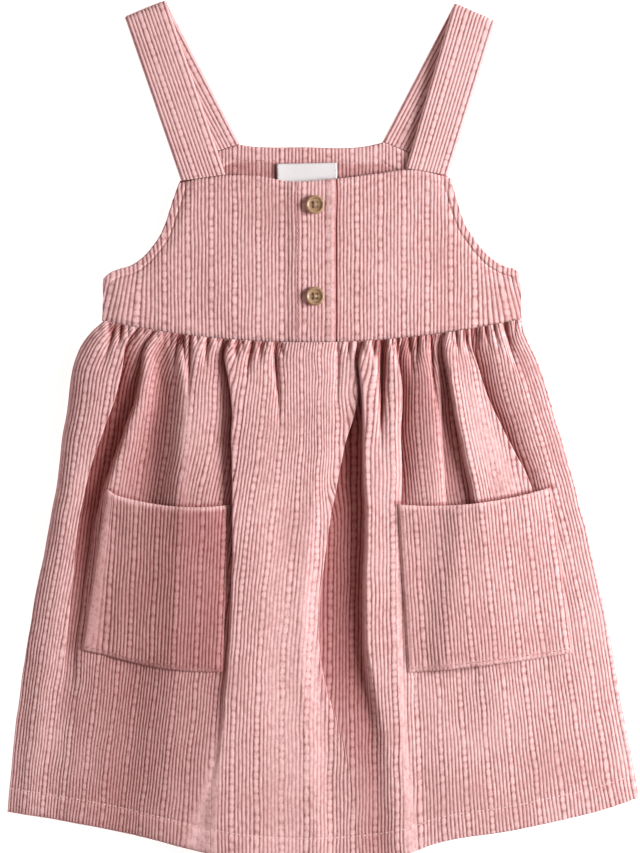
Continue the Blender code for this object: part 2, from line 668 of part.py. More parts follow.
def hole_cutter():
    """Four drills for the thread holes, as one hidden guide at a button's origin."""
    points, faces = [], []
    sides = 8
    for sx in (-1, 1):
        for sy in (-1, 1):
            first = len(points)
            centre = (sx * HOLE_SPACING / 2.0, sy * HOLE_SPACING / 2.0)
            for z in (-1.0, BUTTON_HEIGHT + 1.0):
                for k in range(sides):
                    angle = 2.0 * math.pi * (k + 0.5) / sides
                    points.append((centre[0] + HOLE_RADIUS * math.cos(angle),
                                   centre[1] + HOLE_RADIUS * math.sin(angle), z))
            for k in range(sides):
                n = (k + 1) % sides
                faces.append((first + k, first + n, first + sides + n, first + sides + k))
            faces.append(tuple(first + k for k in reversed(range(sides))))
            faces.append(tuple(first + sides + k for k in range(sides)))
    cutter = build_mesh("hole_cutter", points, faces, None)
    cutter.hide_render = True
    cutter.display_type = "WIRE"
    return cutter


def make_button(name, placket_height, material):
    r, h = BUTTON_RADIUS, BUTTON_HEIGHT
    profile = ((0.0, 0.0), (r * 0.72, 0.0), (r * 0.94, h * 0.3), (r, h * 0.62),
               (r * 0.93, h * 0.95), (r * 0.80, h), (r * 0.70, h * 0.72), (0.0, h * 0.66))
    button = lathe(name, profile, 28, material)
    x, y = BUTTON_X, BUTTON_Y[name]
    ring = [(x + r * math.cos(a), y + r * math.sin(a)) for a in np.linspace(0.0, 6.0, 9)]
    seat = max(placket_height(px, py) for px, py in ring + [(x, y)])
    button.location = Vector((x, y, seat + GAP)) * MM
    cutter = hole_cutter()
    cutter.name = name + "_cutter"
    cutter.parent = button
    holes = button.modifiers.new("thread_holes", "BOOLEAN")
    holes.operation = "DIFFERENCE"
    holes.solver = "EXACT"
    holes.object = cutter
    return button


# ---------------------------------------------------------------- the dress
def main():
    for old in list(bpy.data.objects):
        bpy.data.objects.remove(old, do_unlink=True)

    make_back_skirt(cloth_material("back_skirt_corduroy", DEEP_ROSE))
    make_back_bodice(cloth_material("back_bodice_corduroy", DEEP_ROSE))
    make_back_facing(cloth_material("back_facing_corduroy", DEEP_ROSE))
    make_label(cloth_material("neck_label_satin", LABEL_WHITE, 0.6))
    for name in STRAPS:
        make_strap(name, cloth_material(name + "_corduroy", ROSE))

    front_skirt = make_front_skirt(cloth_material("front_skirt_corduroy", ROSE))
    skirt_height = height_of(front_skirt)
    for name in POCKETS:
        make_pocket(name, skirt_height, cloth_material(name + "_corduroy", ROSE))

    make_front_left(cloth_material("front_bodice_left_corduroy", ROSE))
    make_front_right(cloth_material("front_bodice_right_corduroy", ROSE))
    placket = make_placket(cloth_material("placket_corduroy", ROSE))
    placket_height = height_of(placket)
    for name in BUTTON_Y:
        make_button(name, placket_height, cloth_material(name + "_wood", BUTTON_TAN, 0.45))


main()
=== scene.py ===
"""Looks of a toddler's corduroy pinafore dress, laid flat and seen from straight above.

Sizes are in millimetres, in the frame of the CAD solids, and become metres when a mesh is
made. Every panel is a thin shell on its solid's form, with the wales raised in its mesh.
"""

import math
from collections import namedtuple

import bpy
import numpy as np
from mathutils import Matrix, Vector
from mathutils.bvhtree import BVHTree


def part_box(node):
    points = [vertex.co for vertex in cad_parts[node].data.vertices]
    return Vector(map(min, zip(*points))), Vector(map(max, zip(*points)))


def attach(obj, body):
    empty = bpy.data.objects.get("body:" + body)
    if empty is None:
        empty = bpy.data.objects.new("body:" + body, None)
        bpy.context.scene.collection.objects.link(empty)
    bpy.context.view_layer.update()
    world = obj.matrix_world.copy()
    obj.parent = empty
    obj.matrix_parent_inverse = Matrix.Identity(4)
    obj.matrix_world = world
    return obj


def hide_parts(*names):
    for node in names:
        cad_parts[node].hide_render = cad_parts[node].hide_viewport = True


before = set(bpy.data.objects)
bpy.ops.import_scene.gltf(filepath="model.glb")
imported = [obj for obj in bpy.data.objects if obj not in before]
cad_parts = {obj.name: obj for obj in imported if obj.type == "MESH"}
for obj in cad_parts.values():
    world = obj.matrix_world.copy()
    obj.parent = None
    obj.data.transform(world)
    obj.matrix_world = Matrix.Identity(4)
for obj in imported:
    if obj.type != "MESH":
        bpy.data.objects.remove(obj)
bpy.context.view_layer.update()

MM = 0.001

# ---------------------------------------------------------------- the corduroy, mm
REPEAT = 14.04             # five fine wales and one wide beaded wale
COLUMNS = 26               # mesh columns in a repeat: 4 for a fine wale, 6 for the wide one
STEP = REPEAT / COLUMNS
FINE = (0.0, 0.82, 1.0, 0.82)
WIDE = (0.0, 0.82, 1.0, 1.0, 1.0, 0.82)
WIDE_CENTRE = 23           # column of the wide wale's middle within a repeat
ROW = 1.37
BEAD = 4.11                # length of most beads
PILE = 0.42                # height of a wale over its grooves

# ---------------------------------------------------------------- the dress, mm
GAP = 0.3
SEAM_GAP = 0.05            # between the bodice and the gathers, closed by the seam's pull
SEAM_TUCK = 0.15           # how far the back's edge reaches past its seam with a strap
FOOT_ROLL = 0.35           # what rolling takes off the bodice's lower edge
SKIRT_WALL = 1.2
BACK_WALL = 1.1
BODICE_WALL = 1.9
PLACKET_WALL = 1.3
FACING_WALL = 0.8
STRAP_HALF = 0.8
STITCH_IN = 5.0            # from an edge to its topstitching

HALF_HEM = 189.3
NECK_LEFT, NECK_RIGHT = -87, 75.9
CHEST_LEFT, CHEST_RIGHT = -132.3, 118.8
PLACKET_LEFT, PLACKET_RIGHT = -16.2, 7.2
BUTTON_X = -5.1
BUTTON_Y = {"button_top": 135.4, "button_bottom": 80.8}
HOLE_RADIUS = 0.75
HOLE_SPACING = 2.6
LABEL_CENTRE = (-9.9, 152)
LABEL_SIZE = (36, 17)
LABEL_TILT = math.radians(1.2)
LABEL_WALL = 0.45

BACK_TOP = 1.6             # upper side of the back's solids
FRONT_EDGE_FLOOR = 1.9
FRONT_NECK_EDGE_FLOOR = 3.6
FRONT_NECK_FLOOR = 5.0
FRONT_CROWN = 1.3
NECK_Y, NECK_DROP = 150, 55.0
EDGE_ROLL = 12.0
UNDERLAP = 1.2
FACING_LOW = 128.0
FACING_LEFT, FACING_RIGHT = -72.0, 57.0
SKIRT_LEVEL = 3.5
SKIRT_WAIST_RISE = 1.2

BACK_NECKLINE = ((-50.1, 171.9), (-46, 171.3), (-10, 170.4), (25, 170.9), (35.1, 173))
FRONT_NECKLINE = ((-87, 148.6), (-70, 151.8), (-52, 153.3), (-37, 152.4),
                  (-20.7, 149.5), (8.1, 151.1), (34.5, 154.4), (51, 156.3), (75.9, 151.8))
ARMHOLE_LEFT = ((-132.3, 90.8), (-129.6, 93.8), (-124, 96.8), (-114.9, 99.8),
                (-104.1, 108.8), (-96.3, 120.8), (-92.1, 132.8), (-89, 142), (-87, 148.6))
ARMHOLE_RIGHT = ((75.9, 151.8), (79, 142), (83.7, 126.8), (90.9, 114.8), (102.3, 102.8),
                 (110, 98.6), (114.9, 96.8), (118.2, 92), (118.8, 88.5))
WAIST_MIDDLE, WAIST_CENTRE_X, WAIST_CURVE = 53.2, -9, 0.00087
HEM = ((-189.3, -227.8), (-158.7, -232.6), (-104.7, -243.4), (-74.7, -250.9), (-44.1, -256.3),
       (-11.1, -258.4), (21.9, -257.2), (48.9, -253), (69.9, -246), (111.3, -239.2),
       (140.1, -233.2), (164.7, -227.2), (189.3, -219.4))
SKIRT_SIDES = ((0.00, -131.7, 118.5), (0.03, -141.0, 121.0), (0.08, -148.5, 127.5),
               (0.17, -153.0, 136.0), (0.38, -162.0, 153.3), (0.60, -174.6, 168.5),
               (0.80, -183.6, 178.5), (1.00, -HALF_HEM, HALF_HEM))

# Ridges and creases of the skirt, left to right: x at each station, then height over the
# lowest folds. A crease is a sharp valley, and cloth on either side rises from it steeply.
# Last comes the painted shade at each station: 1 darkens the colour fully where shade falls in a
# fold, 0 leaves it.
STATIONS = (0.0, 0.1, 0.2, 0.31, 0.6, 0.8, 1.0)
Line = namedtuple("Line", "crease x z deep", defaults=((0.0,) * 7,))
Strip = namedtuple("Strip", "left right share soft")
LINES = {
    "side_left": Line(False, (-121, -132, -142, -149, -162, -170, -177),
                      (6, 9, 9, 8, 5, 3.5, 2.5)),
    "flap_edge": Line(False, (-111.5, -121.5, -130.5, -141, -153, -160, -166),
                      (5, 8.5, 8, 7, 3.6, 2.5, 2.2)),
    "flap_foot": Line(True, (-111.4, -121.9, -131, -141.4, -152.8, -158, -163),
                      (0.8, 0.3, 0.3, 0.3, 1.3, 2.3, 2.1), (0.8, 1, 1, 1, 0.5, 0.1, 0)),
    "small_gather": Line(False, (-105, -113.5, -122.5, -134.5, -148, -155, -161),
                         (5, 2, 0.3, 0.3, 1.3, 2.2, 2.1), (0.2, 0.75, 0.95, 0.95, 0.55, 0.1, 0)),
    "second_foot": Line(True, (-100.5, -110.5, -119, -130.5, -145.5, -152.5, -158.5),
                        (0.8, 0.3, 0.3, 0.3, 1.4, 2.5, 2.4), (0.9, 0.95, 0.95, 0.9, 0.5, 0, 0)),
    "second_edge": Line(False, (-98, -107.5, -116, -127, -141, -147, -152),
                        (5.5, 7.5, 7.5, 6.5, 3.8, 2.9, 2.7),
                        (0.1, 0.2, 0.25, 0.3, 0.3, 0.25, 0.25)),
    "left_dip": Line(False, (-91, -97.5, -101, -105, -115, -121, -127),
                     (2.6, 2.2, 2.2, 2.2, 2.6, 2.6, 2.6), (0.6, 0.75, 0.75, 0.65, 0.6, 0.5, 0.5)),
    "left_inner": Line(False, (-79, -80.5, -82, -84, -86, -86, -90),
                       (6.5, 8.8, 9.8, 10.2, 8.8, 7.2, 5.8), (0, 0, 0.1, 0.2, 0.4, 0.35, 0.3)),
    "centre_foot": Line(True, (-56.5, -55.6, -54.8, -54.3, -57.3, -63.9, -81),
                        (0.5, 1, 1.6, 4.5, 8, 7.8, 6.2), (1, 1, 1, 0.9, 0.6, 0, 0)),
    "centre_edge": Line(False, (-55, -54.9, -54.3, -53.9, -55.2, -61.2, -64.2),
                        (6.5, 10.2, 11.6, 12.2, 11.4, 9.4, 7.6)),
    "centre_right": Line(False, (-6, -2, -4, -8, -14, -10, -4), (6, 8, 9, 9, 8, 6, 5)),
    "middle_lip": Line(False, (19, 19.8, 12.8, 5.5, -2.8, 4, 10),
                       (4.5, 6.5, 6, 5.5, 4.2, 3.3, 2.7)),
    "middle_floor": Line(True, (20.2, 20.7, 12.5, 5.1, -2.2, 14, 22),
                         (2.5, 1.5, 0.8, 0.8, 1.3, 3.2, 2.7), (0.3, 0.7, 1, 0.9, 0.7, 0.35, 0.3)),
    "middle_foot": Line(False, (23, 21.8, 22.8, 23.5, 23, 29, 34),
                        (0.8, 0.5, 0.5, 0.5, 0.8, 2.2, 2.3),
                        (0.7, 0.9, 0.95, 0.9, 0.85, 0.6, 0.4)),
    "right_first": Line(False, (25.5, 23.5, 25, 26.5, 27.5, 40, 47),
                        (6.5, 9.5, 10.2, 9.6, 7.8, 4.8, 4)),
    "right_second": Line(False, (40, 41, 41, 41.5, 42, 46, 51), (6.5, 9, 9.4, 8.6, 6.6, 4.8, 3.9)),
    "second_lip": Line(False, (46.2, 46.4, 46.4, 46.6, 48, 52, 57),
                       (5.5, 7.8, 7.9, 7.3, 5.4, 3.8, 3.2)),
    "second_dip": Line(True, (46.4, 46, 46, 46.4, 52, 58, 64), (2.5, 1, 1, 2.5, 3.2, 2.9, 2.7),
                       (0.9, 1, 1, 0.8, 0.2, 0, 0)),
    "right_third": Line(False, (63, 64.5, 65, 65, 70, 74, 78), (6, 7.5, 7.5, 6.5, 4, 3.2, 3),
                        (0.3, 0.5, 0.4, 0.2, 0.1, 0, 0)),
    "third_foot": Line(True, (69, 70, 71, 73, 79, 82, 88), (2.5, 2, 1.5, 2, 3, 3, 2.9),
                       (0.3, 0.5, 0.6, 0.5, 0.1, 0, 0)),
    "fourth_foot": Line(True, (71.5, 75, 80.5, 87, 90, 93, 100), (1.4, 1.6, 2, 2.4, 3, 3, 2.9),
                        (0.6, 0.75, 0.75, 0.6, 0.1, 0, 0)),
    "fourth_edge": Line(False, (74, 77, 83, 90.5, 98, 105, 112), (6, 10, 9.5, 8, 4.2, 3.3, 3)),
    "right_fourth": Line(False, (82, 86, 93, 103, 112, 117, 123), (6, 8, 7.5, 6, 3.8, 3.1, 2.9)),
    "fourth_lip": Line(False, (87.9, 93.9, 105.9, 121.8, 130, 134, 140),
                       (4.8, 6.5, 6, 4.6, 3, 2.9, 2.8)),
    "fifth_foot": Line(True, (88.2, 93.7, 105.6, 121.6, 131.5, 136, 142),
                       (0.8, 0.6, 0.8, 1.5, 2.6, 2.8, 2.7), (0.8, 1, 1, 0.9, 0.2, 0, 0)),
    "right_fifth": Line(False, (103, 114, 126, 136, 147, 153, 161),
                        (5, 6.5, 6.5, 5.5, 3.5, 3, 2.8)),
    "side_dip": Line(False, (111, 120, 130.5, 141, 153, 160, 169),
                     (3.6, 5.2, 5.8, 5, 3.6, 2.9, 2.7), (0.3, 0.3, 0.2, 0.1, 0, 0, 0)),
    "side_right": Line(False, (115, 124.5, 134, 144, 160, 169, 179),
                       (3.8, 5, 5.4, 4.8, 3.4, 2.6, 2.3)),
}
# Wide wales whose course over the folds is known: mesh column, then x at each station
GUIDES = (
    (283, (-32.1, -35.1, -38.1, -43.5, -51.9, -54.9, -54.9)),
    (335, (-12.9, -12.9, -12.9, -15.6, -24.3, -25.2, -24.9)),
    (387, (8.7, 6.9, 6.9, 5.7, 4.5, 4.5, 3.9)),
    (413, (20.7, 19.5, 18.9, 18.3, 16.5, 17.4, 17.7)),
    (465, (41.7, 41.7, 41.7, 41.7, 42.3, 43.5, 44.1)),
)
# How far left the lower left wales lean: mesh column and mm at the hem, share at each station
HEM_LEAN = ((0, 0), (50, -3), (150, -5), (205, -6.5), (283, 0))
LEAN_SHARE = (0, 0, 0, 0, 0, 0.35, 1)
SIDE_HEIGHT = (2, 2.5, 2.5, 2, 1.5, 1, 1)

# Strips where the grooves are filled and coloured like the crests, partly flattened pile and
# partly painted sheen and fill light: x of both sides, how much, how soft
STRIPS = (
    Strip((-57, -57, -57, -57, -58.5, -66.5, -86), (-54, -54, -54, -54, -55.5, -61.2, -64.5),
          (0, 0, 0, 0, 0.3, 0.95, 0.95), 2.6),
    Strip((-14, -14, -14, -14, -14, -10, -6), (-3, -3, -3, -3, -3.5, 2, 6),
          (0, 0, 0, 0.2, 0.8, 0.5, 0.2), 5),
    Strip((-40, -40, -40, -38, -36, -34, -34), (-26, -26, -26, -22, -16, -14, -14),
          (0.1, 0.1, 0.2, 0.3, 0.5, 0.5, 0.35), 10),
    Strip((42, 42, 42.5, 42.5, 43, 46.5, 49), (46.4, 46.4, 46.4, 46.6, 47.5, 51, 57),
          (0, 0.1, 0.2, 0.5, 0.9, 0.9, 0.85), 2),
    Strip((-84, -84, -84.5, -85, -85, -85, -85), (-79, -79, -79.5, -80, -80, -80, -80),
          (0.1, 0.6, 0.75, 0.6, 0.1, 0, 0), 4),
    Strip((77, 83, 91, 100, 108, 110, 110), (84, 90, 101, 115, 122, 122, 122),
          (0, 0.2, 0.6, 0.65, 0.1, 0, 0), 6),
)
# Short creases between the gathers: x at the seam, x at the lower end, length, depth, width
SLITS = (
    (-124, -134, 27, 2.6, 2.2), (-120, -124, 16, 2.2, 1.6),
    (-87, -90, 26, 2.6, 2), (-83.5, -82.5, 21, 2.2, 1.4),
    (-79.5, -81.5, 38, 3, 1.6), (-69, -71, 17, 3.4, 1.6),
    (-61, -58, 25, 2, 1.6), (-51, -52.5, 13, 3.2, 1.6),
    (-42, -48.5, 23, 3.2, 2.2), (-36.5, -39.5, 13, 3, 1.4),
    (-29, -25.5, 48, 3.2, 1.8), (-25.5, -23, 11, 2, 1.3),
    (8.5, 7.5, 46, 1.6, 2), (15, 13, 12, 1.2, 1.4), (31, 30, 13, 2.4, 1.4),
    (35.5, 34, 58, 6.5, 2.3), (43.5, 45, 20, 2.4, 1.4), (51.5, 54, 22, 2.4, 1.8),
    (57, 55, 16, 3.2, 1.6), (64, 68, 46, 3.2, 1.8), (79, 81, 13, 2.6, 1.4),
    (85, 88, 18, 2.8, 1.6), (91, 92.5, 13, 2.4, 1.4), (96.5, 100, 14, 2, 1.4),
    (101.5, 106, 16, 2, 1.4), (107.5, 117, 28, 3.2, 1.8),
)
PUFF = 4.7                 # usual width of the small gathers at the seam
PUFF_DEPTH = 3.4
SEAM_PINCH = 5.0           # below the seam the gathers swell to their full height in this
BACK_GATHERS = 22

Pocket = namedtuple("Pocket", "corners dip belly repeats ridge lip deep strip upright")
# The pair after lip is painted shade at a pocket's left and right sides; strip is how wide the
# flat, pale pile is along its left side, partly painted light.
POCKETS = {
    "pocket_left": Pocket(((-129.9, -34.5), (-55.6, -43.8), (-60.0, -143.4), (-144.9, -130.4)),
                          5.0, 4.0, 6, (-118.0, 0.8, 8.0, 26.0), 1.2, (0.35, 0.75),
                          5.0, 4.8),
    "pocket_right": Pocket(((44.1, -43.6), (135.9, -33.4), (149.1, -132.4), (50.1, -144.4)),
                           4.5, 1.0, 7, (80.0, 3.4, 12.0, 42.0), 3.4, (0.24, 0.0),
                           0.6, 0.0),
}
Strap = namedtuple("Strap", "fold front back")
STRAPS = {
    "strap_left": Strap(((-119.3, 248.4), (-94.5, 258.4)), ((-85.2, 149.6), (-58.5, 153.4)),
                        ((-75.3, 164.2), (-50.4, 172.4))),
    "strap_right": Strap(((103.5, 245.8), (78.6, 256.9)), ((74.4, 152.7), (49.2, 156.8)),
                         ((60.9, 163.4), (35.4, 173.5))),
}
STRAP_BEND = 2.4
STRAP_CENTRE = 1.2         # height of the back leg's middle layer
FRONT_LEG_END = 5.2


# ---------------------------------------------------------------- small mathematics
def smooth(x):
    x = np.clip(x, 0.0, 1.0)
    return x * x * (3.0 - 2.0 * x)


def rise(x, start, width):
    """0 up to a start, and from there smoothly to 1 over a width."""
    return smooth((x - start) / width)


def fall(x, start, width):
    return 1.0 - rise(x, start, width)


def bell(x, width):
    return np.exp(-(x / width) ** 2)


def blend(a, b, share):
    return a + (b - a) * share


def span(count):
    """Even shares from 0 to 1."""
    return np.linspace(0.0, 1.0, count)


def downward(rows):
    """How far down the skirt each row lies, from the hem up."""
    return np.linspace(1.0, 0.0, rows)[:, None]


def stack(*parts):
    return np.stack(parts, axis=-1)


def unit(vectors):
    return vectors / np.linalg.norm(vectors, axis=-1, keepdims=True)


def distance_along(path):
    steps = np.linalg.norm(np.diff(path, axis=0), axis=1)
    return np.concatenate(([0.0], np.cumsum(steps)))


def curve(points, x):
    """A smooth curve y(x) through points sorted by x."""
    xs, ys = np.array(points, dtype=float).T
    steps = np.diff(xs)
    slopes = np.diff(ys) / steps
    inner = (slopes[:-1] * steps[1:] + slopes[1:] * steps[:-1]) / (steps[:-1] + steps[1:])
    tangents = np.concatenate(([slopes[0]], inner, [slopes[-1]]))
    i = np.clip(np.searchsorted(xs, x) - 1, 0, len(steps) - 1)
    t = np.clip((x - xs[i]) / steps[i], 0.0, 1.0)
    from_left = ys[i] * (2 * t**3 - 3 * t**2 + 1) + steps[i] * tangents[i] * (t**3 - 2 * t**2 + t)
    from_right = ys[i + 1] * (3 * t**2 - 2 * t**3) + steps[i] * tangents[i + 1] * (t**3 - t**2)
    return from_left + from_right


def straight(start, end, x):
    (x0, y0), (x1, y1) = start, end
    return y0 + (y1 - y0) * (x - x0) / (x1 - x0)


def vary(n):
    """A repeatable number from 0 to 1 for each whole number n."""
    value = math.sin(12.9898 * n + 4.1) * 43758.5453
    return value - math.floor(value)


def waves(x, y, size, seed, count=7):
    """Soft unevenness, mostly from -1 to 1, made of plane waves about this long."""
    rng = np.random.default_rng(seed)
    total = 0.0
    for _ in range(count):
        angle = rng.uniform(0.0, 2.0 * math.pi)
        length = size * rng.uniform(0.6, 1.6)
        phase = rng.uniform(0.0, 2.0 * math.pi)
        along = x * math.cos(angle) + y * math.sin(angle)
        total = total + np.sin(along * 2.0 * math.pi / length + phase)
    return total / count * 1.6


def waist(x):
    return WAIST_MIDDLE + WAIST_CURVE * (x - WAIST_CENTRE_X) ** 2


def bodice_foot(x):
    """The bodice's lower edge before it is rolled, which brings it back to the seam."""
    return waist(x) - FOOT_ROLL


def front_top(x):
    """Y of the front bodice's upper edge: armhole, neckline, armhole."""
    middle = np.where(x > NECK_RIGHT, curve(ARMHOLE_RIGHT, x), curve(FRONT_NECKLINE, x))
    return np.where(x < NECK_LEFT, curve(ARMHOLE_LEFT, x), middle)


def back_top(x):
    """Y of the back bodice's upper edge: armhole, strap seam, neckline, and so back."""
    left, right = STRAPS["strap_left"].back, STRAPS["strap_right"].back
    conditions = [x < NECK_LEFT, x < left[0][0], x < left[1][0], x <= right[1][0],
                  x <= right[0][0], x <= NECK_RIGHT]
    values = [curve(ARMHOLE_LEFT, x), straight(ARMHOLE_LEFT[-1], left[0], x),
              straight(*left, x) + SEAM_TUCK, curve(BACK_NECKLINE, x),
              straight(*right, x) + SEAM_TUCK, straight(ARMHOLE_RIGHT[0], right[0], x)]
    return np.select(conditions, values, curve(ARMHOLE_RIGHT, x))


def edge_outline():
    """Plan points along both armholes and the short sides below them."""
    points = []
    for side in (ARMHOLE_LEFT, ARMHOLE_RIGHT):
        xs = np.linspace(side[0][0], side[-1][0], 90)
        points += zip(xs, curve(side, xs))
    for side_x in (CHEST_LEFT, CHEST_RIGHT):
        points += [(side_x, side_y) for side_y in np.linspace(60.0, 92.0, 12)]
    return np.array(points)


EDGES = edge_outline()


def distance_to(points, x, y):
    """Distance in plan from each place to the nearest of some points."""
    best = 1e9
    for px, py in points:
        best = np.minimum(best, (x - px) ** 2 + (y - py) ** 2)
    return np.sqrt(best)


def front_floor(y, edge):
    """Level under the front bodice; edge is the distance from its armhole and sides."""
    near_neck = fall(NECK_Y - y, 0.0, NECK_DROP)
    low = blend(FRONT_EDGE_FLOOR, FRONT_NECK_EDGE_FLOOR, near_neck)
    middle = blend(FRONT_EDGE_FLOOR + FRONT_CROWN, FRONT_NECK_FLOOR, near_neck)
    return blend(low, middle, rise(edge, 0.0, EDGE_ROLL))


# ---------------------------------------------------------------- materials
class Nodes:
    """Short calls for building one material's nodes."""

    def __init__(self, name):
        self.material = bpy.data.materials.new(name)
        self.material.use_nodes = True
        self.tree = self.material.node_tree
        self.shader = self.tree.nodes["Principled BSDF"]

    def add(self, kind, links=(), **values):
        node = self.tree.nodes.new(kind)
        for key, value in values.items():
            setattr(node, key, value)
        for socket, source in links:
            self.link(source, node.inputs[socket])
        return node

    def link(self, source, socket):
        if isinstance(source, (int, float)):
            socket.default_value = source
        elif isinstance(source, tuple):
            socket.default_value = (*source, 1.0)
        else:
            self.tree.links.new(source, socket)

    def set(self, **inputs):
        """Values and links on the shader's own sockets; _ stands for a space."""
        for key, source in inputs.items():
            self.link(source, self.shader.inputs[key.replace("_", " ")])

    def __call__(self, operation, a, b=0.0):
        return self.add("ShaderNodeMath", [(0, a), (1, b)], operation=operation).outputs[0]

    def mix(self, factor, a, b):
        return self.add("ShaderNodeMix", data_type="RGBA",
                        links=[(0, factor), (6, a), (7, b)]).outputs[2]

    def ramp(self, value, *stops):
        """A smooth ramp; stops are (position, grey or colour)."""
        node = self.add("ShaderNodeValToRGB", [(0, value)])
        ramp = node.color_ramp
        ramp.interpolation = "EASE"
        while len(ramp.elements) < len(stops):
            ramp.elements.new(0.5)
        for element, (position, colour) in zip(ramp.elements, stops):
            element.position = position
            element.color = (*((colour,) * 3 if isinstance(colour, float) else colour), 1.0)
        return node.outputs[0]

    def noise(self, place, scale, detail=3.0, rough=0.5):
        """Noise on coordinates multiplied by a scale for each axis."""
        node = self.add("ShaderNodeMapping", [("Vector", place)])
        node.inputs["Scale"].default_value = scale
        return self.add("ShaderNodeTexNoise", [("Vector", node.outputs[0]), ("Scale", 1.0),
                                               ("Detail", detail), ("Roughness", rough)]
                        ).outputs[0]

    def attribute(self, name):
        return self.add("ShaderNodeAttribute", attribute_name=name).outputs["Fac"]

    def place(self):
        return self.add("ShaderNodeTexCoord").outputs["Object"]

    def cloth(self):
        """The cloth map, and its coordinate across the cloth."""
        cloth = self.add("ShaderNodeUVMap", uv_map="cloth").outputs["UV"]
        return cloth, self.add("ShaderNodeSeparateXYZ", [(0, cloth)]).outputs[0]

    def bump(self, height, strength, distance):
        node = self.add("ShaderNodeBump", [("Height", height), ("Strength", strength),
                                           ("Distance", distance)])
        self.set(Normal=node.outputs[0])
        return self.material


# Wale colours by pile height; the dark groove colour is mostly painted shade in the grooves.
GROOVE = (0.270, 0.100, 0.100)
FLANK = (0.580, 0.316, 0.314)
CREST = (0.860, 0.622, 0.622)
# The same cloth in painted shade: darker and redder, mixed in where the crease attribute paints
# shade.
SHADE_GROOVE = (0.180, 0.034, 0.031)
SHADE_FLANK = (0.370, 0.112, 0.106)
SHADE_CREST = (0.500, 0.215, 0.206)
WIDE_MIDDLE = 0.885        # middle of the wide wale within a repeat of the cloth map
WIDE_HALF = 0.115


def corduroy_material():
    """Cut pile: pale crests, deep rose grooves that are mostly painted shade, beads, short fibres,
    soft wear, and painted shade where the crease attribute is set.
    """
    n = Nodes("rose_corduroy")
    cloth, across = n.cloth()
    from_middle = n("ABSOLUTE", n("SUBTRACT", n("FRACT", across), WIDE_MIDDLE))
    side = n("DIVIDE", from_middle, WIDE_HALF)
    wide = n.ramp(side, (0.80, 1.0), (1.0, 0.0))
    centred = n("SUBTRACT", n("MULTIPLY", n("FRACT", n.attribute("bead")), 2.0), 1.0)
    to_end = n("POWER", n("ABSOLUTE", centred), 3.0)
    corner = n("ADD", n("MULTIPLY", n("POWER", side, 2.0), 0.75), 0.07)
    # Cracks at the ends of the beads, sunk by the bump and darkened as painted shade.
    crack = n("MULTIPLY", wide, n("MULTIPLY", to_end, corner))
    fibres = n.noise(cloth, (30.0, 13.0, 1.0), 4.0, 0.65)
    tufts = n.noise(cloth, (7.0, 3.0, 1.0), 4.0, 0.65)
    wear = n.noise(n.place(), (34.0, 34.0, 34.0), 3.0, 0.55)
    fuzz = n("MULTIPLY", n("SUBTRACT", fibres, 0.5), 0.75)
    fuzz = n("ADD", fuzz, n("MULTIPLY", n("SUBTRACT", tufts, 0.5), 0.95))
    relief = n("SUBTRACT", fuzz, crack)
    height = n("ADD", n.attribute("pile"), relief)
    # Colour by height: the dark grooves and bead cracks are mostly painted shade.
    colour = n.ramp(height, (0.05, GROOVE), (0.48, FLANK), (0.95, CREST))
    # The colour of the cloth in painted shade.
    shaded = n.ramp(height, (0.05, SHADE_GROOVE), (0.48, SHADE_FLANK), (0.95, SHADE_CREST))
    faded = n.mix(n.ramp(wear, (0.42, 0.0), (0.75, 0.30)), colour, CREST)
    deeper = n.mix(n.ramp(wear, (0.28, 0.35), (0.50, 0.0)), faded, FLANK)
    # The crease attribute mixes in the painted shade colour where shade falls.
    n.set(Base_Color=n.mix(n.attribute("crease"), deeper, shaded), Roughness=0.88,
          Diffuse_Roughness=0.8, Specular_IOR_Level=0.12, Sheen_Weight=0.25,
          Sheen_Roughness=0.35, Sheen_Tint=(1.0, 0.72, 0.70))
    return n.bump(relief, 0.7, 0.0003)


def button_material():
    """Pale turned wood, darker in its grain and lighter where it is worn."""
    n = Nodes("button_wood")
    place = n.place()
    grain = n.noise(place, (300.0, 2600.0, 900.0), 4.0, 0.6)
    broad = n.noise(place, (120.0, 500.0, 200.0), 2.0, 0.5)
    colour = n.mix(n.ramp(grain, (0.35, 0.0), (0.7, 1.0)), (0.22, 0.13, 0.065),
                   (0.40, 0.26, 0.145))
    colour = n.mix(n.ramp(broad, (0.4, 0.0), (0.75, 0.5)), colour, (0.50, 0.34, 0.20))
    n.set(Base_Color=colour, Roughness=0.42, Coat_Weight=0.12, Coat_Roughness=0.3)
    return n.bump(grain, 0.15, 0.0002)


def thread_material(name, colour):
    """Twisted sewing thread."""
    n = Nodes(name)
    twist = n.noise(n.place(), (2600.0, 2600.0, 900.0), 2.0, 0.5)
    dark = tuple(0.72 * channel for channel in colour)
    n.set(Base_Color=n.mix(n.ramp(twist, (0.3, 0.0), (0.7, 1.0)), dark, colour), Roughness=0.7)
    return n.bump(twist, 0.3, 0.0001)


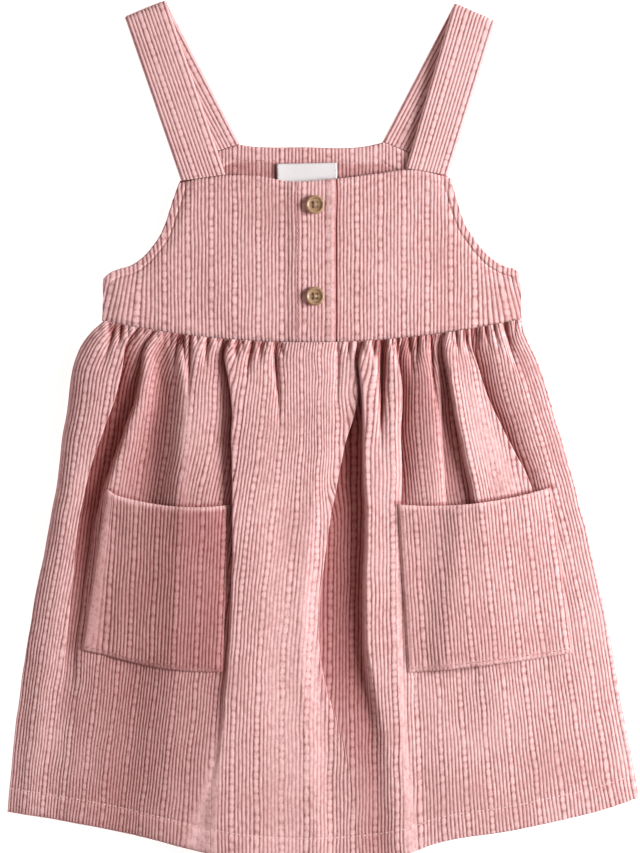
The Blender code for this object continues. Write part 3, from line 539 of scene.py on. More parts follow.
def label_material():
    """White woven satin with a fine rib and a greyer woven border."""
    n = Nodes("label_satin")
    cloth, across = n.cloth()
    weft = n.noise(cloth, (0.6, 3.2, 1.0), 2.0, 0.5)
    warp = n.noise(cloth, (4.0, 0.5, 1.0), 2.0, 0.5)
    weave = n("ADD", n("MULTIPLY", weft, 0.5), n("MULTIPLY", warp, 0.5))
    from_side = n("SUBTRACT", 0.5 * LABEL_SIZE[0], n("ABSOLUTE", across))
    border = n.ramp(n("MULTIPLY", from_side, 0.2), (0.20, 1.0), (0.34, 0.0))
    satin = n.mix(weave, (0.60, 0.62, 0.63), (0.76, 0.77, 0.78))
    rib = n.mix(n.ramp(weft, (0.40, 0.0), (0.60, 1.0)), (0.42, 0.43, 0.44), satin)
    n.set(Base_Color=n.mix(border, satin, rib), Roughness=0.5, Sheen_Weight=0.2)
    return n.bump(weave, 0.4, 0.0002)


# ---------------------------------------------------------------- wales and beads
BEAD_WALES = 64
BEAD_CELL = 0.6            # mm of wale to a cell of the table
BEAD_CELLS = 1000
BEAD_START = -220.0        # mm along the wales at the first cell
BEAD_STRETCH = (1.0, 1.0, 1.0, 1.0, 1.35, 2.1)
WALE_SHAPE = np.array(FINE * 5 + WIDE)
WIDE_FIRST = 5 * len(FINE)


def bead_table():
    """For each wide wale, the number of beads passed at even distances along it."""
    rng = np.random.default_rng(5)
    table = np.zeros((BEAD_WALES, BEAD_CELLS))
    cells = np.arange(BEAD_CELLS) * BEAD_CELL
    for wale in range(BEAD_WALES):
        ends = [-rng.uniform(0.0, BEAD)]
        while ends[-1] < cells[-1]:
            stretch = rng.choice(BEAD_STRETCH) * rng.uniform(0.9, 1.1)
            ends.append(ends[-1] + BEAD * stretch)
        table[wale] = np.interp(cells, ends, np.arange(len(ends)))
    return table


BEADS = bead_table()


def pile_and_bead(column, along):
    """Pile height (0 to 1) and bead number at whole columns and distances along, mm."""
    column, along = np.broadcast_arrays(column, along)
    place = column % COLUMNS
    wale = ((column - 1) // COLUMNS) % BEAD_WALES
    cell = np.clip((along - BEAD_START) / BEAD_CELL, 0.0, BEAD_CELLS - 1.01)
    low = cell.astype(int)
    bead = blend(BEADS[wale, low], BEADS[wale, low + 1], cell - low)
    swell = 0.80 + 0.20 * np.sqrt(np.abs(np.sin(np.pi * bead)))
    return WALE_SHAPE[place] * np.where(place > WIDE_FIRST, swell, 1.0), bead


# ---------------------------------------------------------------- meshes
TOP_SHARE = 0.80           # of the bake map's height, for a piece's outer side
UNDER_SHARE = (0.82, 0.97)
RIM_PLACES = (0.975, 0.995)
EDGE_SINK = (0.62, 0.24, 0.06)
SCALLOP = 0.5              # how far a wale's end stands out beyond the grooves at an edge


def add_object(name, data):
    piece = bpy.data.objects.new(name, data)
    bpy.context.collection.objects.link(piece)
    return piece


def make_object(name, points, faces, material, cloth=None, bake=None, values=()):
    """An object from points in mm; cloth and bake hold a map point for each face corner."""
    mesh = bpy.data.meshes.new(name)
    mesh.from_pydata((np.asarray(points) * MM).tolist(), [], faces)
    mesh.shade_smooth()
    for map_name, places in (("cloth", cloth), ("OFBake", bake)):
        if places is not None:
            layer = mesh.uv_layers.new(name=map_name)
            layer.uv.foreach_set("vector", np.asarray(places, dtype=np.float32).ravel())
    for key, per_point in values:
        attribute = mesh.attributes.new(key, "FLOAT", "POINT")
        attribute.data.foreach_set("value", np.asarray(per_point, dtype=np.float32).ravel())
    mesh.materials.append(material)
    piece = add_object(name, mesh)
    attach(piece, "root")
    return piece


def grid_normals(grid):
    normals = np.cross(np.gradient(grid, axis=1), np.gradient(grid, axis=0))
    return normals / np.linalg.norm(normals, axis=2, keepdims=True).clip(1e-9)


def numbered(rows, columns):
    return np.arange(rows * columns).reshape(rows, columns)


def grid_quads(number):
    return stack(number[:-1, :-1], number[:-1, 1:], number[1:, 1:],
                 number[1:, :-1]).reshape(-1, 4)


def closed(number):
    """Rows of numbers that end where they start."""
    return np.concatenate((number, number[:, :1]), axis=1)


def joined(*grids):
    """The points of some grids in one list."""
    return np.concatenate([grid.reshape(-1, grid.shape[-1]) for grid in grids])


def ring_of(number):
    """Numbers round a grid's border, anticlockwise seen from the outer side."""
    return np.concatenate((number[0, :-1], number[:-1, -1], number[-1, :0:-1],
                           number[:0:-1, 0])).tolist()


def rim_faces(fine, coarse):
    """Triangles between two rings; coarse has -1 where only the fine ring has a point."""
    stops = [i for i, point in enumerate(coarse) if point >= 0]
    faces = []
    for start, stop in zip(stops, stops[1:] + [len(fine) + stops[0]]):
        a, b = coarse[start], coarse[stop % len(fine)]
        middle = (start + stop) // 2
        for i in range(start, stop):
            corner = a if i < middle else b
            faces.append((fine[i % len(fine)], corner, fine[(i + 1) % len(fine)]))
        faces.append((fine[middle % len(fine)], a, b))
    return faces


def cloth_piece(name, surface, column, along, material, wall, thin=(6, 2),
                roll=("low", "high", "left", "right"), plain=0.0, crease=0.0, flip=False):
    """A closed shell of corduroy: a fine outer grid with wales and a thinner inner grid.

    surface holds the feet of the pile, rows by columns, and its normals face outward unless
    flip is set. column numbers the mesh columns of the weave and along is mm along them.
    plain is 1 where the grooves are filled and coloured pale, partly pressed pile and partly
    painted sheen, and crease is 1 where painted shade darkens the colour fully.
    """
    pile, bead = pile_and_bead(column, along)
    pile = pile + (0.9 - pile) * plain
    x, y = surface[..., 0], surface[..., 1]
    pile = pile * (0.90 + 0.10 * waves(x, 0.4 * y, 4.0, 21))
    sway = 0.20 * waves(x, 0.25 * y, 8.0, 22) + 0.22 * waves(x, y, 30.0, 23)
    surface = surface + sway[..., None] * (1.0, 0.0, 0.0)
    column, along, crease = (np.broadcast_to(part, pile.shape)
                             for part in (column, along, crease))
    if flip:
        surface, pile, bead, column, along, crease = (
            part[:, ::-1] for part in (surface, pile, bead, column, along, crease))
    normals = grid_normals(surface)
    sink = np.zeros(pile.shape)
    sides = {"low": sink, "high": sink[::-1], "left": sink.T, "right": sink.T[::-1]}
    for side in roll:
        for ring, share in enumerate(EDGE_SINK):
            sides[side][ring] = np.maximum(sides[side][ring], share)
    height = pile * PILE * (1.0 - sink) - wall * sink
    top = surface + normals * height[..., None]
    for side, end, inner in (("low", 0, 1), ("high", -1, -2)):
        if side in roll:
            outward = unit(surface[end] - surface[inner])
            top[end] += outward * (SCALLOP * (pile[end] - 0.6))[:, None]
    thinned = tuple(slice(None, None, every) for every in thin)
    under = (surface - normals * wall)[thinned]

    number = numbered(*pile.shape)
    u_number = number.size + numbered(*under.shape[:2])
    quads, u_quads = grid_quads(number), grid_quads(u_number)[:, ::-1]
    beneath = np.full(pile.shape, -1)
    beneath[thinned] = u_number
    fine, coarse = ring_of(number), ring_of(beneath)
    rim = rim_faces(fine, coarse)

    u, v = np.meshgrid(span(pile.shape[1]), span(pile.shape[0]))
    bake_points = joined(stack(u, v * TOP_SHARE), stack(u, blend(*UNDER_SHARE, v))[thinned])
    cloth_top = stack(column / COLUMNS, along / 10.0)
    cloth_points = joined(cloth_top, cloth_top[thinned])
    flat = np.concatenate((quads.ravel(), u_quads.ravel(), np.array(rim).ravel()))
    around = {}
    for i, pair in enumerate(zip(fine, coarse)):
        around.update(dict.fromkeys(pair, i / len(fine)))
    rim_bake = [(around[p], RIM_PLACES[p >= number.size]) for tri in rim for p in tri]
    bake = np.concatenate((bake_points[flat[:quads.size + u_quads.size]], rim_bake))
    # The inner grid gets full painted shade (crease 1), which also darkens the rim.
    values = [(key, np.append(outer, np.full(u_number.size, shaded)))
              for key, outer, shaded in (("pile", pile, 0.5), ("bead", bead, 0.5),
                                         ("crease", crease, 1.0))]
    piece = make_object(name, joined(top, under), quads.tolist() + u_quads.tolist() + rim,
                        material, cloth_points[flat], bake, values)
    return piece


# ---------------------------------------------------------------- stitches
STITCH_LENGTH = 2.4
STITCH_GAP = 0.9
STITCH_RADIUS = 0.26
STITCH_RINGS = 5
STITCH_SIDES = 6


def add_stitches(group, path, normals, length=STITCH_LENGTH, gap=STITCH_GAP,
                 radius=STITCH_RADIUS):
    """Add a row of stitches along a path to the (points, faces) of a group."""
    points, faces = group
    along = distance_along(path)
    count = max(1, int(along[-1] / (length + gap)))
    shares = span(STITCH_RINGS)
    bulge = np.sin(math.pi * shares)[:, None]
    turn = np.arange(STITCH_SIDES)[:, None] * 2.0 * math.pi / STITCH_SIDES
    for index in range(count):
        at = (index + 0.5) * along[-1] / count - length / 2.0 + shares * length
        centres, ups = (stack(*(np.interp(at, along, way) for way in line.T))
                        for line in (path, normals))
        ups = unit(ups)
        side = np.cross(unit(centres[-1] - centres[0]), ups)
        offsets = side[:, None] * np.cos(turn) + ups[:, None] * np.sin(turn)
        centres = centres + ups * radius * (1.1 * bulge - 0.6)
        number = len(points) + numbered(STITCH_RINGS, STITCH_SIDES)
        size = radius * (0.45 + 0.55 * bulge)
        points.extend((centres[:, None] + offsets * size[..., None]).reshape(-1, 3))
        faces.extend(grid_quads(closed(number)).tolist())
        faces.extend((number[0, ::-1].tolist(), number[-1].tolist()))


# ---------------------------------------------------------------- front skirt
SKIRT_REPEATS = 28
SKIRT_ROWS = 228
SKIRT_SPLITS = (10, 18)    # repeats at which the front skirt is split into pieces
SAMPLES = 40               # between two lines of a section
HEM_STITCH_ROW = 11
# how far below its surroundings cloth gets full painted shade in hollows, mm
HOLLOW_SHADE_DEPTH = 3.4
NEAR = 0.012               # share of the width within which two lines touch


def at_station(values, down):
    return curve(tuple(zip(STATIONS, values)), down)


def skirt_side(side, down):
    return curve([(row[0], row[side]) for row in SKIRT_SIDES], down)


def skirt_plan(across, down):
    x = blend(skirt_side(1, down), skirt_side(2, down), across)
    waist_x = blend(*SKIRT_SIDES[0][1:], across)
    hem_x = HALF_HEM * (2.0 * across - 1.0)
    return x, (waist(waist_x) - SEAM_GAP) * (1.0 - down) + curve(HEM, hem_x) * down


def line_across(line, down):
    """Share of the skirt's width at which a line lies."""
    stations = np.array(STATIONS)
    left, right = skirt_side(1, stations), skirt_side(2, stations)
    return at_station((np.array(line.x) - left) / (right - left), down)


def slit_depth(x, below):
    """How deep the creases between the gathers are at plan points below the seam."""
    total = 0.0
    for top_x, end_x, length, depth, width in SLITS:
        share = below / (1.3 * length)
        slit_x = blend(top_x, end_x, np.clip(share, 0.0, 1.0))
        fade = (0.75 + 0.25 * rise(share, 0.0, 0.2)) * fall(share, 0.0, 1.0)
        total = total + 1.8 * depth * fade * np.exp(-np.abs(x - slit_x) / (0.7 * width))
    return total + puff_depth(x, below)


def puff_depth(x, below):
    """The small round gathers right under the seam, none of them below the placket."""
    place = x / PUFF + 0.30 * np.sin(x / 7.3 + 1.3) + 0.16 * np.sin(x / 3.1)
    number = np.round(place)
    reach = 5.0 + 8.0 * np.abs(np.sin(number * 12.9898))
    away = np.abs(place - number) * PUFF
    open_at = 1.0 - rise(x, -30.0, 6.0) * smooth((13.0 - x) / 6.0)
    return PUFF_DEPTH * open_at * np.exp(-away / 0.6) * fall(below / reach, 0.0, 1.0)


def skirt_section(down):
    """Plan, height and painted shade of the front skirt at each distance down, sampled."""
    side = Line(True, (), SIDE_HEIGHT)
    lines = [side, *LINES.values(), side]
    places = [0.0 * down, *(line_across(line, down) for line in LINES.values()),
              1.0 + 0.0 * down]
    across, height, deep = [], [], []
    t = np.linspace(0.0, 1.0, SAMPLES, endpoint=False)[None, :]
    opened = rise(down, 0.62, 0.2)      # lower down the creases open out
    for start, end, a, b in zip(lines[:-1], lines[1:], places[:-1], places[1:]):
        if start.crease and not end.crease:
            step = 1.0 - np.cos(0.5 * math.pi * t)
            steep = np.sqrt(1.0 - (1.0 - step) ** 2)
            fade = smooth(t) ** 1.6
        elif end.crease and not start.crease:
            step = np.sin(0.5 * math.pi * t)
            steep = 0.75 * step ** 5 + 0.25 * smooth(step)
            fade = t ** np.where(b - a < NEAR, 0.35, 2.5)
        else:
            step, steep, fade = t, smooth(t), smooth(t)
        across.append(blend(a, b, step))
        share = blend(steep, smooth(step), opened)
        height.append(blend(at_station(start.z, down), at_station(end.z, down), share))
        deep.append(blend(at_station(start.deep, down), at_station(end.deep, down), fade))
    across.append(places[-1])
    deep.append(places[0])
    height.append(at_station(SIDE_HEIGHT, down))
    across, height, deep = (np.concatenate(part, axis=1) for part in (across, height, deep))
    x, y = skirt_plan(across, down)
    below = waist(x) - y
    slits = slit_depth(x, below)
    z = (height - slits).clip(0.2) * (0.7 + 0.3 * rise(below, 0.0, SEAM_PINCH))
    z = z + (SKIRT_LEVEL + SKIRT_WAIST_RISE * fall(down, 0.1, 0.2) - 0.3)
    # The slits between the gathers get painted shade too.
    return stack(x, y, z, np.maximum(deep, rise(slits, 0.9, 1.9)))


def box_blur(values, reach):
    """Mean over a number of columns on either side."""
    padded = np.pad(values, ((0, 0), (reach + 1, reach)), mode="edge")
    total = np.cumsum(padded, axis=1)
    return (total[:, 2 * reach + 1:] - total[:, :-2 * reach - 1]) / (2 * reach + 1)


def even_columns(dense, count, down):
    """Points spread along each section of cloth so that the guides keep to their courses."""
    steps = np.linalg.norm(np.diff(dense[..., (0, 2)], axis=1), axis=2)
    along = np.concatenate((np.zeros((len(dense), 1)), np.cumsum(steps, axis=1)), axis=1)
    samples = np.arange(dense.shape[1])
    knots = [0, *(column for column, _ in GUIDES), count - 1]
    courses = np.stack([at_station(course, down[:, 0]) for _, course in GUIDES], axis=-1)
    even = span(count)
    lean = np.interp(np.arange(count), *zip(*HEM_LEAN)) * at_station(LEAN_SHARE, down).clip(0.0)
    shares = []
    for line, xs, course, shift in zip(along, dense[..., 0], courses, lean):
        reach = [0.0, *(np.interp(course, xs, line) / line[-1]), 1.0]
        shares.append(np.interp(np.arange(count), knots, reach) - even + shift / line[-1])
    shares = box_blur(box_blur(np.array(shares), 12), 12)
    place = np.array([np.interp((even + share) * line[-1], line, samples)
                      for line, share in zip(along, shares)])
    for _ in range(3):
        place = box_blur(place.T, 4).T
    return np.array([[np.interp(at, samples, channel) for channel in section.T]
                     for at, section in zip(place, dense)]).transpose(0, 2, 1)


def skirt_surface(rows, columns):
    """The feet of the front skirt's pile, rows up from the hem, and its painted shade in folds and
    hollows.
    """
    down = downward(rows)
    surface = even_columns(skirt_section(down), columns, down)
    surface, deep = surface[..., :3], surface[..., 3]
    for axis, size, wave, seed in ((2, 0.30, 60.0, 3), (2, 0.12, 17.0, 4), (0, 0.25, 26.0, 8)):
        surface[..., axis] += size * waves(surface[..., 0], surface[..., 1], wave, seed)
    above_stitch = np.arange(rows)[:, None] - HEM_STITCH_ROW
    surface[..., 2] -= 0.45 * bell(above_stitch, 0.8)
    surface[..., 2] += 0.35 * fall(above_stitch, -1.5, 1.5)
    # Painted shade in hollows: cloth lower than its surroundings is darkened, less so lower down.
    around = box_blur(box_blur(surface[..., 2], 18), 18)
    hollow_shade = rise(around, surface[..., 2], HOLLOW_SHADE_DEPTH)
    return surface, np.maximum(deep, hollow_shade * (0.8 - 0.6 * rise(down, 0.55, 0.25)))


def pressed_and_sheen(surface):
    """Where the grooves are filled and coloured pale on the steep sides of folds: partly pressed
    pile, partly painted sheen of cloth seen edge-on from above.
    """
    return 0.75 * smooth((0.93 - grid_normals(surface)[..., 2]) / 0.22)


def strips(x, rows):
    """How far the pile is smoothed and made pale in the strips, partly painted sheen and fill
    light, for rows of plan places.
    """
    down = downward(rows)
    total = 0.0
    for strip in STRIPS:
        left, right = at_station(strip.left, down), at_station(strip.right, down)
        inside = (smooth((x - left) / strip.soft + 0.5) * smooth((right - x) / strip.soft + 0.5))
        total = np.maximum(total, at_station(strip.share, down).clip(0.0) * inside)
    return total


def make_front_skirt(material, thread):
    columns = SKIRT_REPEATS * COLUMNS + 1
    rows = SKIRT_ROWS + 1
    surface, crease = skirt_surface(rows, columns)
    # Painted shadow on the skirt along each pocket's mouth.
    for pocket in POCKETS.values():
        mouth = pocket_plan(pocket, 2, 60)[1, :, :2]
        away = distance_to(mouth, surface[..., 0], surface[..., 1])
        crease = np.maximum(crease, 0.8 * fall(away, 1.0, 2.2))
    plain = np.maximum(pressed_and_sheen(surface), strips(surface[..., 0], rows)) * (1.0 - crease)
    column = np.arange(columns)[None, :]
    along = np.arange(rows)[:, None] * ROW
    cuts = [0, *(repeat * COLUMNS for repeat in SKIRT_SPLITS), columns - 1]
    names = ("front_skirt_left", "front_skirt_centre", "front_skirt_right")
    rolls = (("low", "left"), ("low",), ("low", "right"))
    panels = []
    for name, roll, first, last in zip(names, rolls, cuts[:-1], cuts[1:]):
        part = slice(first, last + 1)
        panels.append(cloth_piece(name, surface[:, part], column[:, part], along, material,
                                  SKIRT_WALL, roll=roll, plain=plain[:, part],
                                  crease=crease[:, part]))
    group = ([], [])
    hem, up = surface[HEM_STITCH_ROW], grid_normals(surface)[HEM_STITCH_ROW]
    add_stitches(group, hem + up * 0.6 * PILE, up)
    stitches = make_object("stitches_hem", *group, thread)
    for piece in (*panels, stitches):
        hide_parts("front_skirt")
    for panel, first, last in zip(panels, cuts[:-1], cuts[1:]):
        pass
    return surface


# ---------------------------------------------------------------- back skirt
BACK_REPEATS = 28
BACK_ROWS = 121


def make_back_skirt(material):
    """The back of the skirt, outer side down, with short gathers below the seam."""
    columns = BACK_REPEATS * COLUMNS + 1
    across, down = span(columns)[None, :], downward(BACK_ROWS)
    x, y = skirt_plan(across, down)
    share = across * BACK_GATHERS
    ridge = (1.0 - (2.0 * (share - np.floor(share)) - 1.0) ** 2) ** 0.7
    reach = np.array([0.10 + 0.14 * vary(200 + i) for i in range(BACK_GATHERS + 1)])
    fade = fall(down / reach[share.astype(int)], 0.0, 1.0)
    z = PILE + 1.1 * (1.0 - ridge) * fade
    z = z + 0.35 * (1.0 + waves(x, y * 0.25, 34.0, 31)) * rise(down, 0.0, 0.1)
    column = np.arange(columns)[None, :]
    along = np.arange(BACK_ROWS)[:, None] * ROW * SKIRT_ROWS / (BACK_ROWS - 1)
    piece = cloth_piece("back_skirt_cloth", stack(x, y, z), column, along, material, BACK_WALL,
                        (4, 4), flip=True)
    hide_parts("back_skirt")


# ---------------------------------------------------------------- bodice
FAN = 0.30                 # sideways lean of the wales at the underarms
EDGE_BEND = 0.9            # how far the turned armhole edge pulls the wales outward
BODICE_ROWS = 109
BACK_BODICE_ROWS = 73
WALE_X = -25.0             # middle of one wide wale on the back and the left front
RIGHT_WALE_X = 20.0
PLACKET_WALE_X = -11.42
PLAN_MARGIN = 12.0         # how far past a panel's sides its wales are looked for
PLAN_HEIGHTS = np.linspace(50.0, 176.0, 1261)[:, None]
SHORTEST_WALE = 12         # in steps of those heights
UNDERLAP_CLOTH = 0.7       # wall of the right front, thin enough to pass under the placket
EDGE_START = 84.0          # y at which the armhole's turned and stitched edge starts
NECK_MIDDLE, NECK_HALF = -5.5, 77.0        # reach of the neckline's turned edge


def wale_line(m, y):
    """X at height y of the wale that has material coordinate m."""
    lean = FAN * (rise(m, 86.0, 30.0) - smooth((-98.0 - m) / 32.0))
    x = m + lean * (6.0 * np.logaddexp(0.0, (100.0 - y) / 6.0))
    edge = distance_to(EDGES[::3], x, y)
    bend = EDGE_BEND * smooth((STITCH_IN - edge) / STITCH_IN) * rise(y, 88.0, 10.0)
    return x + bend * (rise(x, 40.0, 30.0) - smooth((-50.0 - x) / 30.0))


def panel_plan(wide_at, left, right, bottom_of, top_of, rows, keep_last=False):
    """Plan points of a panel whose columns are wales clipped by its outline.

    wide_at is the x of one wide wale's middle. Returns x, y and the column numbers. The
    number of columns is odd, so that every second one reaches both borders.
    """
    first = math.floor((left - PLAN_MARGIN - wide_at) / STEP) + WIDE_CENTRE
    last = math.ceil((right + PLAN_MARGIN - wide_at) / STEP) + WIDE_CENTRE
    column = np.arange(first, last + 1)
    m = wide_at + (column - WIDE_CENTRE) * STEP
    y = PLAN_HEIGHTS
    x = wale_line(m, y)
    inside = (x >= left) & (x <= right) & (y >= bottom_of(x)) & (y <= top_of(x))
    low = inside.argmax(axis=0)
    leaves = ~inside & (np.arange(len(y))[:, None] > low)
    high = leaves.argmax(axis=0) - 1
    kept = np.flatnonzero(inside.any(axis=0) & (high - low > SHORTEST_WALE))
    if len(kept) % 2 == 0:
        kept = kept[1:] if keep_last else kept[:-1]
    y = blend(y[low[kept], 0], y[high[kept], 0], span(rows)[:, None])
    return wale_line(m[kept], y), y, column[None, kept]


def turned_edge(distance):
    """Extra height of a turned and topstitched edge, and the dip along its stitches."""
    inward = distance - STITCH_IN
    return 0.35 * fall(inward, -1.2, 1.4) - 0.5 * bell(inward, 0.75)


def front_level(x, y):
    """The feet of the front bodice's pile."""
    edge = distance_to(EDGES, x, y)
    level = front_floor(y, edge) + BODICE_WALL
    level = level + turned_edge(edge) * rise(y, EDGE_START, 8.0)
    level = level + turned_edge(front_top(x) - y) * (np.abs(x - NECK_MIDDLE) < NECK_HALF)
    level = level - 0.9 * fall(y, waist(x), 3.5)
    return level + 0.25 * waves(x, y, 38.0, 11) + 0.10 * waves(x, y, 13.0, 12)


def make_front_left(material):
    x, y, column = panel_plan(WALE_X, CHEST_LEFT, PLACKET_LEFT - 0.1, bodice_foot, front_top,
                              BODICE_ROWS, keep_last=True)
    z = front_level(x, y) + 0.9 * rise(x, PLACKET_LEFT - 7.5, 7.0)
    piece = cloth_piece("front_left_cloth", stack(x, y, z), column, y, material,
                        BODICE_WALL - 0.4, roll=("low", "high", "left"))
    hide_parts("front_bodice_left")


def make_front_right(material):
    """The right front runs on under the placket as a thinner underlap."""
    x, y, column = panel_plan(RIGHT_WALE_X, PLACKET_LEFT + 1.0, CHEST_RIGHT, bodice_foot,
                              front_top, BODICE_ROWS)
    z = front_level(x, y) - (BODICE_WALL - 0.75) * fall(x, PLACKET_RIGHT - 0.2, 1.4)
    # crease paints a shadow line on the right front along the placket's edge.
    piece = cloth_piece("front_right_cloth", stack(x, y, z), column, y, material,
                        UNDERLAP_CLOTH, roll=("low", "high", "right"),
                        crease=fall(x, PLACKET_RIGHT + 1.0, 1.0))
    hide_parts("front_bodice_right")


def placket_level(x, y):
    level = front_level(x, y) - BODICE_WALL + UNDERLAP + GAP + PLACKET_WALL
    level = level + 0.35 * rise(x, 1.5, 2.5)
    for button_y in BUTTON_Y.values():
        level = level - 0.7 * bell(np.hypot(x - BUTTON_X, y - button_y), 6.5)
    return level


def make_placket(material):
    x, y, column = panel_plan(PLACKET_WALE_X, PLACKET_LEFT - 0.1, PLACKET_RIGHT + 0.3,
                              bodice_foot, front_top, BODICE_ROWS)
    # crease paints shade on the placket's rolled right edge.
    piece = cloth_piece("placket_cloth", stack(x, y, placket_level(x, y)), column, y, material,
                        PLACKET_WALL, roll=("low", "high", "right"),
                        plain=0.8 * rise(x, 1.8, 1.2), crease=rise(x, PLACKET_RIGHT - 0.9, 0.8))
    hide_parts("placket")


def make_back_bodice(material):
    x, y, column = panel_plan(WALE_X, CHEST_LEFT, CHEST_RIGHT, bodice_foot, back_top,
                              BACK_BODICE_ROWS)
    z = PILE + 0.12 * (1.0 + waves(x, y, 40.0, 41)) + 0.5 * fall(y, waist(x), 3.0)
    piece = cloth_piece("back_bodice_cloth", stack(x, y, z), column, y, material, BACK_WALL,
                        flip=True)
    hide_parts("back_bodice")


def facing_stitch(x):
    """Y of the topstitching that holds the back facing, which drops at the straps."""
    return back_top(x) - 8.0 - 8.0 * rise(x, 5.0, 60.0) - 3.0 * smooth((-30.0 - x) / 40.0)


def facing_level(x, y):
    below = facing_stitch(x) - y
    edge = 0.55 * fall(below, -1.0, 1.6) - 0.5 * bell(below, 0.8)
    return BACK_TOP + GAP + FACING_WALL + edge + 0.1 * waves(x, y, 24.0, 51)


def make_back_facing(material):
    """The inner side of the back neckline, which shows above the front."""
    x, y, column = panel_plan(WALE_X, FACING_LEFT, FACING_RIGHT,
                              lambda at: np.full_like(at, FACING_LOW),
                              lambda at: back_top(at) - 0.4, BACK_BODICE_ROWS)
    # crease paints shade below the stitching, where the facing lies deeper under the front.
    piece = cloth_piece("back_facing_cloth", stack(x, y, facing_level(x, y)), column, y,
                        material, FACING_WALL, crease=0.45 * rise(facing_stitch(x), y, 1.5))
    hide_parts("back_facing")


def path_on(x, y, level):
    """A path and its normals on a surface given by a level."""
    step = 0.2
    slope_x = (level(x + step, y) - level(x - step, y)) / (2.0 * step)
    slope_y = (level(x, y + step) - level(x, y - step)) / (2.0 * step)
    return (stack(x, y, level(x, y) + 0.6 * PILE),
            unit(stack(-slope_x, -slope_y, np.ones_like(x))))


def armhole_line(side):
    """Plan points of the topstitching inside an armhole edge."""
    xs = np.linspace(side[0][0], side[-1][0], 160)
    edge = stack(xs, curve(side, xs))
    along = unit(np.gradient(edge, axis=0))
    line = edge + stack(along[:, 1], -along[:, 0]) * STITCH_IN
    keep = (line[:, 1] < front_top(line[:, 0]) - 4.0) & (line[:, 1] > EDGE_START)
    keep &= distance_to(EDGES, line[:, 0], line[:, 1]) > STITCH_IN - 0.5
    return line[keep].T


def make_bodice_stitches(thread):
    group = ([], [])
    for left, right, level in ((NECK_LEFT + 4.0, PLACKET_LEFT - 1.0, front_level),
                               (PLACKET_LEFT + 0.6, PLACKET_RIGHT - 0.6, placket_level),
                               (PLACKET_RIGHT + 1.0, NECK_RIGHT - 4.0, front_level)):
        x = np.linspace(left, right, 80)
        add_stitches(group, *path_on(x, front_top(x) - STITCH_IN, level))
    for side in (ARMHOLE_LEFT, ARMHOLE_RIGHT):
        add_stitches(group, *path_on(*armhole_line(side), front_level))
    x = np.full(80, PLACKET_LEFT + 1.1)
    y = np.linspace(waist(x[0]) + 2.0, front_top(x[0]) - 2.0, 80)
    add_stitches(group, *path_on(x, y, placket_level))
    x = np.linspace(-66.0, 50.0, 120)
    add_stitches(group, *path_on(x, facing_stitch(x), facing_level))
    make_object("stitches_bodice", *group, thread)


# ---------------------------------------------------------------- straps
STRAP_COLUMNS = 51


def strap_path(strap):
    """Rows of edges and normals, from the back seam over the fold to the front seam."""
    fold, back, front = (np.array(edges) for edges in (strap.fold, strap.back, strap.front))
    along = unit(fold[1] - fold[0])
    out = np.array((-along[1], along[0]))
    out *= np.sign(out[1])
    axis = fold - out * (STRAP_BEND + STRAP_CENTRE)
    x = np.linspace(front[0, 0], front[1, 0], 30)
    front[:, 1] += (front_top(x) + GAP - straight(*strap.front, x)).max()
    high = STRAP_CENTRE + 2.0 * STRAP_BEND
    rows = [(blend(back, axis, share), STRAP_CENTRE, (0.0, 0.0, -1.0))
            for share in span(65)[:-1]]
    for angle in np.linspace(-0.5, 0.5, 11) * math.pi:
        side, up = out * math.cos(angle), math.sin(angle)
        rows.append((axis + side * STRAP_BEND, STRAP_CENTRE + STRAP_BEND * (1.0 + up),
                     (*side, up)))
    rows += [(blend(axis, front, share), blend(high, FRONT_LEG_END, smooth(share)),
              (0.0, 0.0, 1.0)) for share in span(76)[1:]]
    edges = np.array([[(*edge, level) for edge in pair] for pair, level, _ in rows])
    return edges, np.array([normal for *_, normal in rows])


